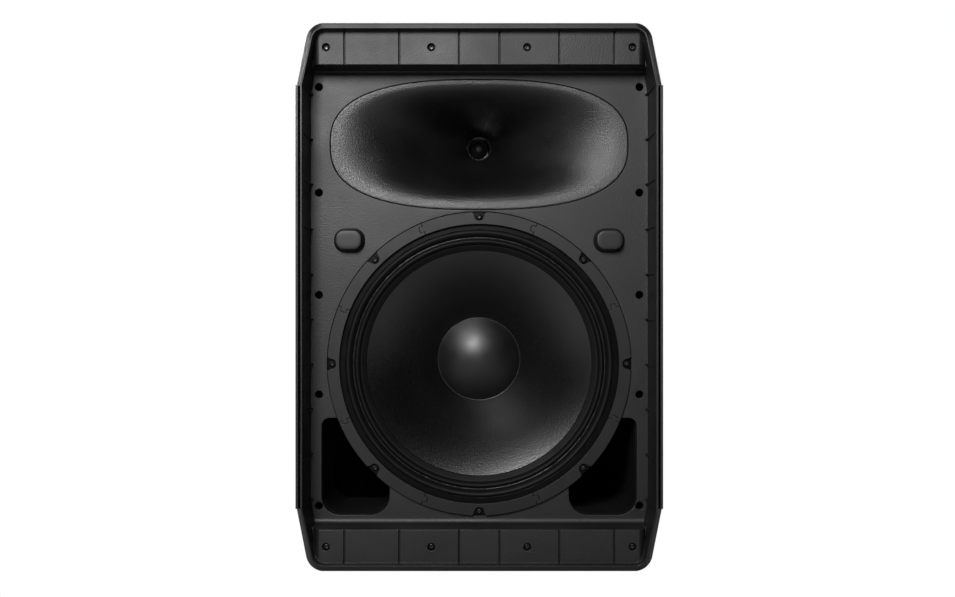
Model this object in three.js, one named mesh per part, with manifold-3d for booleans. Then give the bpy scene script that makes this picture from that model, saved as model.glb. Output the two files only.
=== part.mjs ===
// Two-way powered loudspeaker cabinet with its grille taken off.
// Millimetres, +Z up, the front faces -Y. The origin is on the floor, under the middle of the cabinet's box.
import * as THREE from "three";
import { mergeVertices } from "three/addons/utils/BufferGeometryUtils.js";
import Module from "manifold-3d";

const wasm = await Module();
wasm.setup();

// ---------- driving dimensions ----------

// Clearances
const GAP = 0.3; // between pieces that touch
const SLIDE_GAP = 0.7; // between a moving piece and what it moves in

// Cabinet: heights are counted from the cabinet's underside
const WIDTH = 348.4;
const HEIGHT = 525.5;
const DEPTH = 292;
const SHELL_WALL = 4;
const RAIL_WIDTH = 6.4; // side rail beside the front recess
const RIM_HEIGHT = 5.5; // top and bottom rim beside the front recess
const CORNER_INSET = 9.8; // how much narrower the front is at the very top and bottom
const CORNER_RISE = 61.9; // height over which it narrows
const CORNER_RADIUS = 16.3;
const RIM_SETBACK = 12.5; // the rims lie this far behind the side rails' front edge
const SHELF_SETBACK = 19.5;
const SHELF_TILT = 3.6; // the shelf's outer end lies this much deeper than its inner end
const SHELF_HEIGHT = 39.2; // from the cabinet's underside or top to the shelf's step
const BAFFLE_SETBACK = 46;
const BAFFLE_THICKNESS = 8;
const PARTING_SETBACK = 92; // where the two shells meet
const TAPER_SETBACK = 136; // the sides run straight back to here, then close in
const REAR_WIDTH = 236;
const REAR_CORNER_RADIUS = 22;
const REAR_TOP_DROP = 20;
const REAR_BOTTOM_RISE = 12;
const REAR_CHAMFER_RUN = 46;
const GROOVE_WIDTH = 1.5; // slot for the grille's folded edge
const GROOVE_DEPTH = 7;
const GROOVE_OUTER_LIP = 2.6;
const COVE_RADIUS = 4;

// Screws and wells of the front shell
const WELL_RADIUS = 3.8;
const WELL_BOSS_RADIUS = 6.2;
const WELL_FROM_EDGE = 14.6; // from the cabinet's side to a well's middle
const WELL_HEIGHTS = [54.9, 165.8, 264.9, 366.7, 471.9];
const SHELF_SCREW_RADIUS = 3.7;
const SHELF_SCREW_DEPTH = 5;
const SHELF_SCREW_PLACES = [46.4, 148.3];
const SHELF_SCREW_FROM_EDGE = 21.1;

// Woofer, of the 12 inch class
const WOOFER_HEIGHT = 196.5;
const FRAME_RADIUS = 150.9;
const BOLT_FROM_EDGE = 4.3; // from the frame's edge to a bolt's middle
const BOLT_COUNT = 8;
const GASKET_PROUD = 3.5;
const GASKET_THICKNESS = 4;
const GASKET_WIDTH = 11.9;
const FLANGE_THICKNESS = 3;
const CUTOUT_LEDGE = 14.9; // how much smaller than the frame the baffle's cut-out is
const BASKET_WALL = 3;
const SURROUND_WIDTH = 21.5; // from the gasket's inner edge to the cone's edge
const CONE_EDGE_SINK = 11; // from the gasket's face back to the cone's edge
const CONE_THICKNESS = 1.2;
const CAP_RADIUS = 43.6;
const CAP_SINK = 78; // from the gasket's face back to the dust cap's rim
const CAP_HEIGHT = 15;
const COIL_RADIUS = 38; // three inch voice coil
const COIL_LENGTH = 31;
const SPIDER_SINK = 89;
const SPIDER_WIDTH = 30; // from the coil to the ledge's inner edge
const MOTOR_SINK = 95; // from the gasket's face back to the top plate
const TOP_PLATE_THICKNESS = 8;
const MAGNET_THICKNESS = 20;
const MAGNET_RADIUS = 82;
const BACK_PLATE_THICKNESS = 8;
const BOLT_HEAD_RADIUS = 4.6;
const BOLT_HEAD_HEIGHT = 3;
const BOLT_SHANK_RADIUS = 2;
const NOTCH_RADIUS = 6.3;

// Horn and compression driver
const HORN_HEIGHT = 414.7;
const HORN_HALF_WIDTH = 148.3;
const HORN_HALF_HEIGHT = 64.7;
const HORN_SQUARENESS = 2.6; // exponent of the mouth's superellipse
const HORN_LIP = 3.4;
const HORN_DEPTH = 108;
const HORN_FLARE = 2.1; // how suddenly the horn opens out towards its mouth
const HORN_WALL = 3;
const THROAT_RADIUS = 12.7;
const THROAT_RISE = 13; // the throat sits above the mouth's middle
const DRIVER_RADIUS = 45;
const DRIVER_MAGNET_DEPTH = 26;
const DRIVER_CAP_DEPTH = 20;
const DIAPHRAGM_RADIUS = 22;

// Ports
const PORT_SIDE = 156.8; // from the middle to the port's outer side
const PORT_INNER_END = 89.4; // from the middle to the port's inner end
const PORT_BOTTOM = 46;
const PORT_TOP = 142.4;
const PORT_CORNER_RADIUS = 18.5;
const PORT_TOP_RADIUS = 8;
const PORT_UNDERCUT = 1.4; // the woofer's frame overhangs the port by this
const PORT_WALL = 3;
const PORT_DEPTH = 84;

// Grille bumpers
const BUMPER_PLACE = 129;
const BUMPER_HEIGHT = 319.1;
const BUMPER_LENGTH = 25.1;
const BUMPER_WIDTH = 18.2;
const BUMPER_PROUD = 10;
const BUMPER_STEM_RADIUS = 3;

// Handle, pole socket and feet
const HANDLE_LENGTH = 150;
const HANDLE_POCKET_WIDTH = 62;
const HANDLE_POCKET_DEPTH = 40;
const HANDLE_PLACE_Y = 12;
const GRIP_WIDTH = 27;
const GRIP_THICKNESS = 15;
const POLE_PLACE_Y = 28;
const POLE_RADIUS = 18;
const POLE_SOCKET_DEPTH = 78;
const POLE_SOCKET_WALL = 3.6;
const POLE_FLANGE_RADIUS = 31;
const POLE_FLANGE_THICKNESS = 3;
const FOOT_RADIUS = 14;
const FOOT_PROUD = 1.5;
const FOOT_RECESS = 2.2;
const FRONT_FOOT_PLACE = [118, -88];
const REAR_FOOT_PLACE = [92, 88];

// Amplifier
const PANEL_WIDTH = 186;
const PANEL_HEIGHT = 322;
const PANEL_MIDDLE_HEIGHT = 250;
const PANEL_THICKNESS = 2.5;
const PANEL_RECESS = 17; // from the rear face to the panel's face
const PANEL_CORNER_RADIUS = 8;
const PANEL_LEDGE = 9;
const KNOB_RADIUS = 8;
const KNOB_HEIGHT = 13;
const KNOB_SHAFT_RADIUS = 3;
const KNOB_ROW_HEIGHT = 366;
const KNOB_PITCH = 34;
const LED_RADIUS = 3;
const BUTTON_RADIUS = 4.5;
const BUTTON_PROUD = 3.2;
const SOCKET_ROW_HEIGHT = 322;
const SOCKET_PITCH = 46;
const SOCKET_WIDTH = 27;
const SOCKET_BODY_HEIGHT = 32;
const SOCKET_BORE_RADIUS = 9.6;
const SOCKET_BORE_DROP = 2.3; // the bore sits this far below the socket's middle
const SOCKET_DEPTH = 24;
const SOCKET_FLANGE = 2;
const LATCH_WIDTH = 8;
const LATCH_HEIGHT = 3.6;
const LATCH_RISE = 10.6; // from the socket's middle to the latch's middle
const LATCH_PROUD = 2.4;
const MAINS_ROW_HEIGHT = 118;
const INLET_PLACE = 38;
const INLET_WIDTH = 29;
const INLET_BODY_HEIGHT = 22;
const INLET_DEPTH = 20;
const ROCKER_PLACE = -44;
const ROCKER_WIDTH = 13;
const ROCKER_HEIGHT = 20;
const ROCKER_PROUD = 4;
const ROCKER_THROW = 9; // degrees either way
const SINK_WIDTH = 150;
const SINK_HEIGHT = 132;
const SINK_MIDDLE_HEIGHT = 218;
const SINK_FIN_DEPTH = 13;
const SINK_FIN_COUNT = 13;
const SINK_FIN_THICKNESS = 2.4;
const SINK_BASE = 5;
const BOARD_WIDTH = 160;
const BOARD_HEIGHT = 250;
const BOARD_THICKNESS = 1.6;
const BOARD_STANDOFF = 30;
const CAPACITOR_RADIUS = 15;
const CAPACITOR_LENGTH = 32;
const TRANSFORMER_SIZE = [44, 30, 38];
const LEAD_RADIUS = 2.6;
const LINING_THICKNESS = 14;

// ---------- derived places ----------

const FRONT_Y = -DEPTH / 2;
const BACK_Y = DEPTH / 2;
const SHELF_Y = FRONT_Y + SHELF_SETBACK;
const BAFFLE_Y = FRONT_Y + BAFFLE_SETBACK;
const BAFFLE_BACK_Y = BAFFLE_Y + BAFFLE_THICKNESS;
const PARTING_Y = FRONT_Y + PARTING_SETBACK;
const BOLT_RADIUS = FRAME_RADIUS - BOLT_FROM_EDGE;
const GASKET_INNER_RADIUS = FRAME_RADIUS - GASKET_WIDTH;
const CUTOUT_RADIUS = FRAME_RADIUS - CUTOUT_LEDGE;
const CONE_RADIUS = GASKET_INNER_RADIUS - SURROUND_WIDTH;
const SPIDER_LEDGE_RADIUS = COIL_RADIUS + SPIDER_WIDTH;
const GASKET_Y = BAFFLE_Y - GASKET_PROUD;
const FLANGE_Y = GASKET_Y + GASKET_THICKNESS + GAP;
const REBATE_Y = FLANGE_Y + FLANGE_THICKNESS + GAP;
const TOP_PLATE_Y = GASKET_Y + MOTOR_SINK;
const MAGNET_Y = TOP_PLATE_Y + TOP_PLATE_THICKNESS + GAP;
const BACK_PLATE_Y = MAGNET_Y + MAGNET_THICKNESS + GAP;
const THROAT_Y = BAFFLE_Y + HORN_DEPTH;
const THROAT_HEIGHT = HORN_HEIGHT + THROAT_RISE;
const PANEL_Y = BACK_Y - PANEL_RECESS;
const PANEL_BACK_Y = PANEL_Y - PANEL_THICKNESS;
const BOARD_Y = PANEL_BACK_Y - BOARD_STANDOFF - BOARD_THICKNESS;
const HANDLE_FLOOR_Z = HEIGHT - HANDLE_POCKET_DEPTH;
const FAR = 1000; // longer than anything here, for cutting tools

// Sides of the round pieces: fine, usual, small and smallest
const ROUND_FINE = 56;
const ROUND = 32;
const ROUND_SMALL = 16;
const ROUND_TINY = 8;

// ---------- materials ----------

const plastic = (color, roughness) => new THREE.MeshStandardMaterial({ color, roughness, metalness: 0 });
const metal = (color, roughness) => new THREE.MeshStandardMaterial({ color, roughness, metalness: 1 });
const MATERIALS = {
  shell: () => plastic(0x1b1b1c, 0.6),
  horn: () => plastic(0x151516, 0.5),
  rubber: () => plastic(0x111112, 0.85),
  foam: () => plastic(0x2a2a2c, 1),
  paper: () => plastic(0x0f0f10, 0.8),
  cloth: () => plastic(0x3a2f22, 0.9),
  paintedMetal: () => metal(0x17181a, 0.45),
  steel: () => metal(0xa0a2a6, 0.3),
  ferrite: () => plastic(0x2b2b2e, 0.7),
  aluminium: () => metal(0xb9bcc0, 0.35),
  board: () => plastic(0x14402a, 0.6),
  lens: () => plastic(0x2f9a4c, 0.2),
};

// ---------- shape helpers ----------

// A three.js geometry as a manifold-3d solid: only positions are kept, and shared corners are merged.
function solidOf(geometry) {
  const plain = geometry.index ? geometry.toNonIndexed() : geometry;
  const bare = new THREE.BufferGeometry().setAttribute("position", plain.getAttribute("position"));
  const merged = mergeVertices(bare, 1e-3);
  return new wasm.Manifold(
    new wasm.Mesh({
      numProp: 3,
      vertProperties: merged.attributes.position.array,
      triVerts: new Uint32Array(merged.index.array),
    }),
  );
}

function geometryOf(solid) {
  const mesh = solid.getMesh();
  return new THREE.BufferGeometry()
    .setAttribute("position", new THREE.BufferAttribute(mesh.vertProperties, 3))
    .setIndex(new THREE.BufferAttribute(mesh.triVerts, 1));
}

const joined = (first, ...rest) => rest.reduce((sum, solid) => sum.add(solid), first);
const carved = (first, ...rest) => rest.reduce((sum, solid) => sum.subtract(solid), first);

// Points of a counter-clockwise polygon whose corners {x, y, r} are rounded by arcs.
function roundedPoints(corners, arcStep = 26) {
  const points = [];
  corners.forEach((corner, i) => {
    const before = corners[(i + corners.length - 1) % corners.length];
    const after = corners[(i + 1) % corners.length];
    const inward = new THREE.Vector2(corner.x - before.x, corner.y - before.y).normalize();
    const outward = new THREE.Vector2(after.x - corner.x, after.y - corner.y).normalize();
    const turn = Math.atan2(inward.cross(outward), inward.dot(outward));
    if (!corner.r) {
      points.push(new THREE.Vector2(corner.x, corner.y));
      return;
    }
    const tangent = corner.r * Math.abs(Math.tan(turn / 2));
    const side = Math.sign(turn);
    const start = new THREE.Vector2(corner.x, corner.y).addScaledVector(inward, -tangent);
    const centre = start.clone().add(new THREE.Vector2(-inward.y, inward.x).multiplyScalar(side * corner.r));
    const from = start.clone().sub(centre);
    const steps = Math.max(2, Math.ceil(Math.abs(turn) / THREE.MathUtils.degToRad(arcStep)));
    for (let k = 0; k <= steps; k++) {
      points.push(from.clone().rotateAround(new THREE.Vector2(), (turn * k) / steps).add(centre));
    }
  });
  return points;
}

// The corners of a convex counter-clockwise polygon moved inwards by a distance.
function insetCorners(corners, distance) {
  return corners.map((corner, i) => {
    const before = corners[(i + corners.length - 1) % corners.length];
    const after = corners[(i + 1) % corners.length];
    const a = new THREE.Vector2(corner.x - before.x, corner.y - before.y).normalize();
    const b = new THREE.Vector2(after.x - corner.x, after.y - corner.y).normalize();
    const shift = new THREE.Vector2(-a.y - b.y, a.x + b.x).multiplyScalar(distance / (1 + a.dot(b)));
    return { x: corner.x + shift.x, y: corner.y + shift.y, r: corner.r && Math.max(corner.r - distance, 1) };
  });
}

const rectangle = (width, height, r = 0) => [
  { x: -width / 2, y: -height / 2, r },
  { x: width / 2, y: -height / 2, r },
  { x: width / 2, y: height / 2, r },
  { x: -width / 2, y: height / 2, r },
];

// An outline drawn in x and z, made solid between two depths.
function alongY(points, fromY, toY) {
  const shape = new THREE.Shape(points);
  const geometry = new THREE.ExtrudeGeometry(shape, { depth: toY - fromY, bevelEnabled: false });
  return solidOf(geometry.rotateX(Math.PI / 2).translate(0, toY, 0));
}

// An outline drawn in x and y, made solid between two heights.
function alongZ(points, fromZ, toZ) {
  const shape = new THREE.Shape(points);
  const geometry = new THREE.ExtrudeGeometry(shape, { depth: toZ - fromZ, bevelEnabled: false });
  return solidOf(geometry.translate(0, 0, fromZ));
}

// An outline drawn in y and z, made solid between two x places.
function alongX(points, fromX, toX) {
  const shape = new THREE.Shape(points);
  const geometry = new THREE.ExtrudeGeometry(shape, { depth: toX - fromX, bevelEnabled: false });
  const turned = new THREE.Matrix4().set(0, 0, 1, fromX, 1, 0, 0, 0, 0, 1, 0, 0, 0, 0, 0, 1);
  return solidOf(geometry.applyMatrix4(turned));
}

function box(x0, x1, y0, y1, z0, z1) {
  const geometry = new THREE.BoxGeometry(x1 - x0, y1 - y0, z1 - z0);
  return solidOf(geometry.translate((x0 + x1) / 2, (y0 + y1) / 2, (z0 + z1) / 2));
}

// A solid of revolution about the Y direction through (x, z): the profile's pairs are [radius, y].
function turnedAboutY(profile, x, z, segments = ROUND_SMALL) {
  let area = 0;
  profile.forEach(([r, y], i) => {
    const [nextR, nextY] = profile[(i + 1) % profile.length];
    area += r * nextY - nextR * y;
  });
  const ordered = area > 0 ? profile : [...profile].reverse();
  const points = [...ordered, ordered[0]].map(([r, y]) => new THREE.Vector2(r, y));
  return solidOf(new THREE.LatheGeometry(points, segments).translate(x, 0, z));
}

const cylinderY = (radius, fromY, toY, x, z, segments = ROUND_SMALL) =>
  turnedAboutY([[0, fromY], [radius, fromY], [radius, toY], [0, toY]], x, z, segments);

const ringY = (inner, outer, fromY, toY, x, z, segments = ROUND) =>
  turnedAboutY([[inner, fromY], [outer, fromY], [outer, toY], [inner, toY]], x, z, segments);

// The same about the Z direction through (x, y): the profile's pairs are [radius, z].
function turnedAboutZ(profile, x, y, segments = ROUND_SMALL) {
  const lying = turnedAboutY(profile, 0, 0, segments);
  return lying.rotate([90, 0, 0]).translate([x, y, 0]);
}

const cylinderZ = (radius, fromZ, toZ, x, y, segments = ROUND_SMALL) =>
  turnedAboutZ([[0, fromZ], [radius, fromZ], [radius, toZ], [0, toZ]], x, y, segments);

// Corners of a regular polygon about (x, y).
const circlePoints = (radius, x, y, segments) =>
  Array.from({ length: segments }, (_, i) => {
    const angle = (i / segments) * Math.PI * 2;
    return new THREE.Vector2(x + radius * Math.cos(angle), y + radius * Math.sin(angle));
  });

// A round tube along a smooth curve through chosen points.
function tubeAlong(points, radius, steps) {
  const curve = new THREE.CatmullRomCurve3(points.map((p) => new THREE.Vector3(...p)));
  const section = new THREE.Shape(circlePoints(radius, 0, 0, 8));
  return solidOf(new THREE.ExtrudeGeometry(section, { extrudePath: curve, steps, bevelEnabled: false }));
}

const mirrored = (solid) => solid.mirror([1, 0, 0]);

const parts = new THREE.Group();
parts.position.z = FOOT_PROUD;

function addPart(name, solid, material) {
  const mesh = new THREE.Mesh(geometryOf(solid), material());
  mesh.name = name;
  parts.add(mesh);
}

// ---------- the cabinet's outer form ----------

// Seen from the front: straight sides that close in towards the top and bottom.
const frontOutline = [
  { x: -WIDTH / 2 + CORNER_INSET, y: 0, r: CORNER_RADIUS },
  { x: WIDTH / 2 - CORNER_INSET, y: 0, r: CORNER_RADIUS },
  { x: WIDTH / 2, y: CORNER_RISE, r: 0 },
  { x: WIDTH / 2, y: HEIGHT - CORNER_RISE, r: 0 },
  { x: WIDTH / 2 - CORNER_INSET, y: HEIGHT, r: CORNER_RADIUS },
  { x: -WIDTH / 2 + CORNER_INSET, y: HEIGHT, r: CORNER_RADIUS },
  { x: -WIDTH / 2, y: HEIGHT - CORNER_RISE, r: 0 },
  { x: -WIDTH / 2, y: CORNER_RISE, r: 0 },
];

// Seen from above: straight sides that close in towards the back.
const planOutline = [
  { x: -WIDTH / 2, y: FRONT_Y, r: 0 },
  { x: WIDTH / 2, y: FRONT_Y, r: 0 },
  { x: WIDTH / 2, y: FRONT_Y + TAPER_SETBACK, r: 30 },
  { x: REAR_WIDTH / 2, y: BACK_Y, r: REAR_CORNER_RADIUS },
  { x: -REAR_WIDTH / 2, y: BACK_Y, r: REAR_CORNER_RADIUS },
  { x: -WIDTH / 2, y: FRONT_Y + TAPER_SETBACK, r: 30 },
];

// Seen from the side: the front edge leans back at the top and bottom, and the rear edges are cut away.
const sideOutline = [
  { x: FRONT_Y + RIM_SETBACK, y: 0, r: 0 },
  { x: BACK_Y - REAR_CHAMFER_RUN, y: 0, r: 30 },
  { x: BACK_Y, y: REAR_BOTTOM_RISE, r: 6 },
  { x: BACK_Y, y: HEIGHT - REAR_TOP_DROP, r: 8 },
  { x: BACK_Y - REAR_CHAMFER_RUN, y: HEIGHT, r: 30 },
  { x: FRONT_Y + RIM_SETBACK, y: HEIGHT, r: 0 },
  { x: FRONT_Y, y: HEIGHT - CORNER_RISE, r: 0 },
  { x: FRONT_Y, y: CORNER_RISE, r: 0 },
];

// The cabinet's form between two depths, with every face moved inwards by the inset.
function cabinetForm(inset, fromY, toY) {
  const front = alongY(roundedPoints(insetCorners(frontOutline, inset)), fromY, toY);
  const plan = alongZ(roundedPoints(insetCorners(planOutline, inset)), -FAR, FAR);
  const side = alongX(roundedPoints(insetCorners(sideOutline, inset)), -FAR, FAR);
  return front.intersect(plan).intersect(side);
}

// ---------- shared cut-outs ----------

// The horn's outline at a half width and half height, from a circle (2) to a squarer oval.
function hornPoints(halfWidth, halfHeight, squareness, z, segments = ROUND) {
  return Array.from({ length: segments }, (_, i) => {
    const angle = (i / segments) * Math.PI * 2;
    const across = Math.cos(angle);
    const up = Math.sin(angle);
    const power = 2 / squareness;
    return new THREE.Vector2(
      halfWidth * Math.sign(across) * Math.abs(across) ** power,
      z + halfHeight * Math.sign(up) * Math.abs(up) ** power,
    );
  });
}

// The right-hand port's opening: a corner triangle whose long side follows the woofer's frame.
function portOpening(inset, fromY, toY) {
  const outline = [
    { x: PORT_INNER_END, y: PORT_BOTTOM, r: PORT_CORNER_RADIUS },
    { x: PORT_SIDE, y: PORT_BOTTOM, r: PORT_CORNER_RADIUS },
    { x: PORT_SIDE, y: PORT_TOP, r: PORT_TOP_RADIUS },
    { x: PORT_INNER_END, y: PORT_TOP, r: 0 },
  ];
  const block = alongY(roundedPoints(insetCorners(outline, inset)), fromY, toY);
  const frameRadius = FRAME_RADIUS - PORT_UNDERCUT + inset;
  return block.subtract(cylinderY(frameRadius, fromY - 1, toY + 1, 0, WOOFER_HEIGHT, ROUND_FINE));
}

const wellX = WIDTH / 2 - WELL_FROM_EDGE;
const wellPlaces = WELL_HEIGHTS.flatMap((z) => [[-wellX, z], [wellX, z]]);
const lowestWell = Math.min(...WELL_HEIGHTS);
const boltAngles = Array.from({ length: BOLT_COUNT }, (_, i) => (i / BOLT_COUNT) * Math.PI * 2);
const boltPlaces = boltAngles.map((angle) => [
  BOLT_RADIUS * Math.cos(angle),
  WOOFER_HEIGHT + BOLT_RADIUS * Math.sin(angle),
]);
const shelfScrewPlaces = SHELF_SCREW_PLACES.flatMap((x) =>
  [SHELF_SCREW_FROM_EDGE, HEIGHT - SHELF_SCREW_FROM_EDGE].flatMap((z) => [[-x, z], [x, z]]));

// ---------- front shell ----------

// The front recess down to the baffle, and the shallower recess in front of the tilted shelves.
function frontRecess() {
  const opening = [
    { x: -WIDTH / 2 + CORNER_INSET + RAIL_WIDTH, y: RIM_HEIGHT, r: CORNER_RADIUS - RIM_HEIGHT },
    { x: WIDTH / 2 - CORNER_INSET - RAIL_WIDTH, y: RIM_HEIGHT, r: CORNER_RADIUS - RIM_HEIGHT },
    { x: WIDTH / 2 - RAIL_WIDTH, y: CORNER_RISE, r: 0 },
    { x: WIDTH / 2 - RAIL_WIDTH, y: HEIGHT - CORNER_RISE, r: 0 },
    { x: WIDTH / 2 - CORNER_INSET - RAIL_WIDTH, y: HEIGHT - RIM_HEIGHT, r: CORNER_RADIUS - RIM_HEIGHT },
    { x: -WIDTH / 2 + CORNER_INSET + RAIL_WIDTH, y: HEIGHT - RIM_HEIGHT, r: CORNER_RADIUS - RIM_HEIGHT },
    { x: -WIDTH / 2 + RAIL_WIDTH, y: HEIGHT - CORNER_RISE, r: 0 },
    { x: -WIDTH / 2 + RAIL_WIDTH, y: CORNER_RISE, r: 0 },
  ];
  const shaft = alongY(roundedPoints(opening), FRONT_Y - 1, BAFFLE_Y);
  const depthProfile = [
    { x: FRONT_Y - 2, y: -1, r: 0 },
    { x: SHELF_Y + SHELF_TILT, y: -1, r: 0 },
    { x: SHELF_Y, y: SHELF_HEIGHT, r: 0 },
    { x: BAFFLE_Y + 1, y: SHELF_HEIGHT, r: COVE_RADIUS + 1 },
    { x: BAFFLE_Y + 1, y: HEIGHT - SHELF_HEIGHT, r: 0 },
    { x: SHELF_Y, y: HEIGHT - SHELF_HEIGHT, r: 0 },
    { x: SHELF_Y + SHELF_TILT, y: HEIGHT + 1, r: 0 },
    { x: FRONT_Y - 2, y: HEIGHT + 1, r: 0 },
  ];
  return shaft.intersect(alongX(roundedPoints(depthProfile), -FAR, FAR));
}

// The hollow behind the baffle and behind the shelves, open at the back.
function frontShellHollow() {
  const room = cabinetForm(SHELL_WALL, FRONT_Y, BACK_Y);
  const behindBaffle = room.intersect(box(-FAR, FAR, BAFFLE_BACK_Y, FAR, -FAR, FAR));
  const shelfBackY = SHELF_Y + SHELF_TILT + SHELL_WALL;
  const inside = WIDTH / 2 - CORNER_INSET - RAIL_WIDTH - SHELL_WALL;
  const edge = SHELF_HEIGHT - SHELL_WALL;
  const bottomShelf = box(-inside, inside, shelfBackY, BAFFLE_BACK_Y + 1, CORNER_RADIUS, edge);
  const topShelf = box(-inside, inside, shelfBackY, BAFFLE_BACK_Y + 1, HEIGHT - edge, HEIGHT - CORNER_RADIUS);
  return joined(behindBaffle, bottomShelf, topShelf);
}

// Slots along the side rails that take the grille's folded edges.
function grilleGrooves() {
  const outer = WIDTH / 2 - GROOVE_OUTER_LIP;
  const groove = box(
    outer - GROOVE_WIDTH, outer, FRONT_Y - 1, FRONT_Y + GROOVE_DEPTH, CORNER_RISE, HEIGHT - CORNER_RISE,
  );
  return groove.add(mirrored(groove));
}

function shelfScrewHoles() {
  const floorY = SHELF_Y + SHELF_TILT / 2 + SHELF_SCREW_DEPTH;
  return joined(
    ...shelfScrewPlaces.map(([x, z]) => cylinderY(SHELF_SCREW_RADIUS, FRONT_Y, floorY, x, z, ROUND_TINY)),
  );
}

// Bosses for the shelf screws, so that the counterbores keep a floor.
function shelfScrewBosses() {
  const faceY = SHELF_Y + SHELF_TILT + 1;
  return joined(
    ...shelfScrewPlaces.map(([x, z]) => cylinderY(WELL_BOSS_RADIUS, faceY, BAFFLE_BACK_Y, x, z, ROUND_TINY)),
  );
}

function frontShell() {
  const outer = cabinetForm(0, FRONT_Y, PARTING_Y);
  const bossEndY = PARTING_Y - 2;
  const bosses = wellPlaces
    .filter(([, z]) => z > lowestWell)
    .map(([x, z]) => cylinderY(WELL_BOSS_RADIUS, BAFFLE_BACK_Y - 1, bossEndY, x, z, ROUND_TINY));
  const wells = wellPlaces.map(([x, z]) =>
    cylinderY(WELL_RADIUS, FRONT_Y, z > lowestWell ? bossEndY - 2 : BAFFLE_BACK_Y + 1, x, z, ROUND_TINY));
  const hornHole = alongY(
    hornPoints(HORN_HALF_WIDTH + GAP, HORN_HALF_HEIGHT + GAP, HORN_SQUARENESS, HORN_HEIGHT),
    FRONT_Y, BAFFLE_BACK_Y + 1,
  );
  const rebate = cylinderY(FRAME_RADIUS + GAP, FRONT_Y, REBATE_Y, 0, WOOFER_HEIGHT, ROUND_FINE);
  const cutout = cylinderY(CUTOUT_RADIUS, FRONT_Y, BAFFLE_BACK_Y + 1, 0, WOOFER_HEIGHT, ROUND);
  const port = portOpening(0, BAFFLE_Y - 1, BAFFLE_BACK_Y + 1);
  const boltHoles = boltPlaces.map(([x, z]) =>
    cylinderY(BOLT_SHANK_RADIUS + GAP, FRONT_Y, BAFFLE_BACK_Y + 1, x, z, ROUND_TINY));
  const bumperHoles = [-BUMPER_PLACE, BUMPER_PLACE].map((x) =>
    cylinderY(BUMPER_STEM_RADIUS + GAP, FRONT_Y, BAFFLE_BACK_Y + 1, x, BUMPER_HEIGHT, ROUND_TINY));
  const hollowed = carved(outer, frontRecess(), frontShellHollow(), grilleGrooves());
  return carved(
    joined(hollowed, ...bosses, shelfScrewBosses()),
    ...wells, hornHole, rebate, cutout, port, mirrored(port), shelfScrewHoles(), ...boltHoles, ...bumperHoles,
    footRecess(FRONT_FOOT_PLACE), mirrored(footRecess(FRONT_FOOT_PLACE)),
  );
}

// ---------- rear shell ----------

const footRecess = ([x, y]) => cylinderZ(FOOT_RADIUS + GAP, -1, FOOT_RECESS, x, y);

// A rounded box drawn in x and z, for the panel's recess, ledge and window.
const panelBlock = (grow, fromY, toY) =>
  alongY(
    roundedPoints(rectangle(PANEL_WIDTH + 2 * grow, PANEL_HEIGHT + 2 * grow, PANEL_CORNER_RADIUS)),
    fromY, toY,
  ).translate([0, 0, PANEL_MIDDLE_HEIGHT]);

function handlePocket(grow, floorZ, topZ) {
  const outline = rectangle(HANDLE_LENGTH + 2 * grow, HANDLE_POCKET_WIDTH + 2 * grow, 12 + grow);
  return alongZ(roundedPoints(outline), floorZ, topZ).translate([0, HANDLE_PLACE_Y, 0]);
}

function rearShell() {
  const fromY = PARTING_Y + GAP;
  const outer = cabinetForm(0, fromY, BACK_Y);
  const room = cabinetForm(SHELL_WALL, FRONT_Y, BACK_Y - SHELL_WALL);
  const ledgeY = PANEL_BACK_Y - GAP;
  const panelWell = panelBlock(SHELL_WALL, ledgeY - SHELL_WALL, BACK_Y - 1);
  const pocketCup = handlePocket(SHELL_WALL, HANDLE_FLOOR_Z - SHELL_WALL, HEIGHT - 1);
  const padTopZ = POLE_FLANGE_THICKNESS + SHELL_WALL;
  const polePad = cylinderZ(POLE_FLANGE_RADIUS + SHELL_WALL, 1, padTopZ, 0, POLE_PLACE_Y);
  const withBosses = joined(outer.subtract(room), panelWell, pocketCup, polePad);
  return carved(
    withBosses,
    panelBlock(GAP, ledgeY, BACK_Y + 1),
    panelBlock(-PANEL_LEDGE, ledgeY - SHELL_WALL - 1, BACK_Y + 1),
    handlePocket(0, HANDLE_FLOOR_Z, HEIGHT + 1),
    cylinderZ(POLE_FLANGE_RADIUS + GAP, -1, POLE_FLANGE_THICKNESS + GAP, 0, POLE_PLACE_Y),
    cylinderZ(POLE_RADIUS + POLE_SOCKET_WALL + GAP, -1, FAR, 0, POLE_PLACE_Y)
      .intersect(box(-FAR, FAR, -FAR, FAR, -FAR, HEIGHT / 2)),
    footRecess(REAR_FOOT_PLACE),
    mirrored(footRecess(REAR_FOOT_PLACE)),
  );
}

// A carrying bar across the pocket: a rounded grip that ends just short of the pocket's end walls.
function handleGrip() {
  const section = roundedPoints(rectangle(GRIP_WIDTH, GRIP_THICKNESS, 6));
  const halfLength = HANDLE_LENGTH / 2 - GAP;
  const bar = alongX(section, -halfLength, halfLength)
    .translate([0, HANDLE_PLACE_Y, HEIGHT - GRIP_THICKNESS / 2 - 1]);
  const postWidth = 12;
  const post = (side) => {
    const outer = side * halfLength;
    const inner = side * (halfLength - postWidth);
    return box(
      Math.min(outer, inner), Math.max(outer, inner),
      HANDLE_PLACE_Y - GRIP_WIDTH / 2 + 4, HANDLE_PLACE_Y + GRIP_WIDTH / 2 - 4,
      HANDLE_FLOOR_Z + GAP, HEIGHT - GRIP_THICKNESS / 2,
    );
  };
  const pocketEnds = handlePocket(-GAP, HANDLE_FLOOR_Z, HEIGHT);
  return joined(bar, post(-1), post(1)).intersect(pocketEnds.translate([0, 0, GAP]));
}

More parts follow.
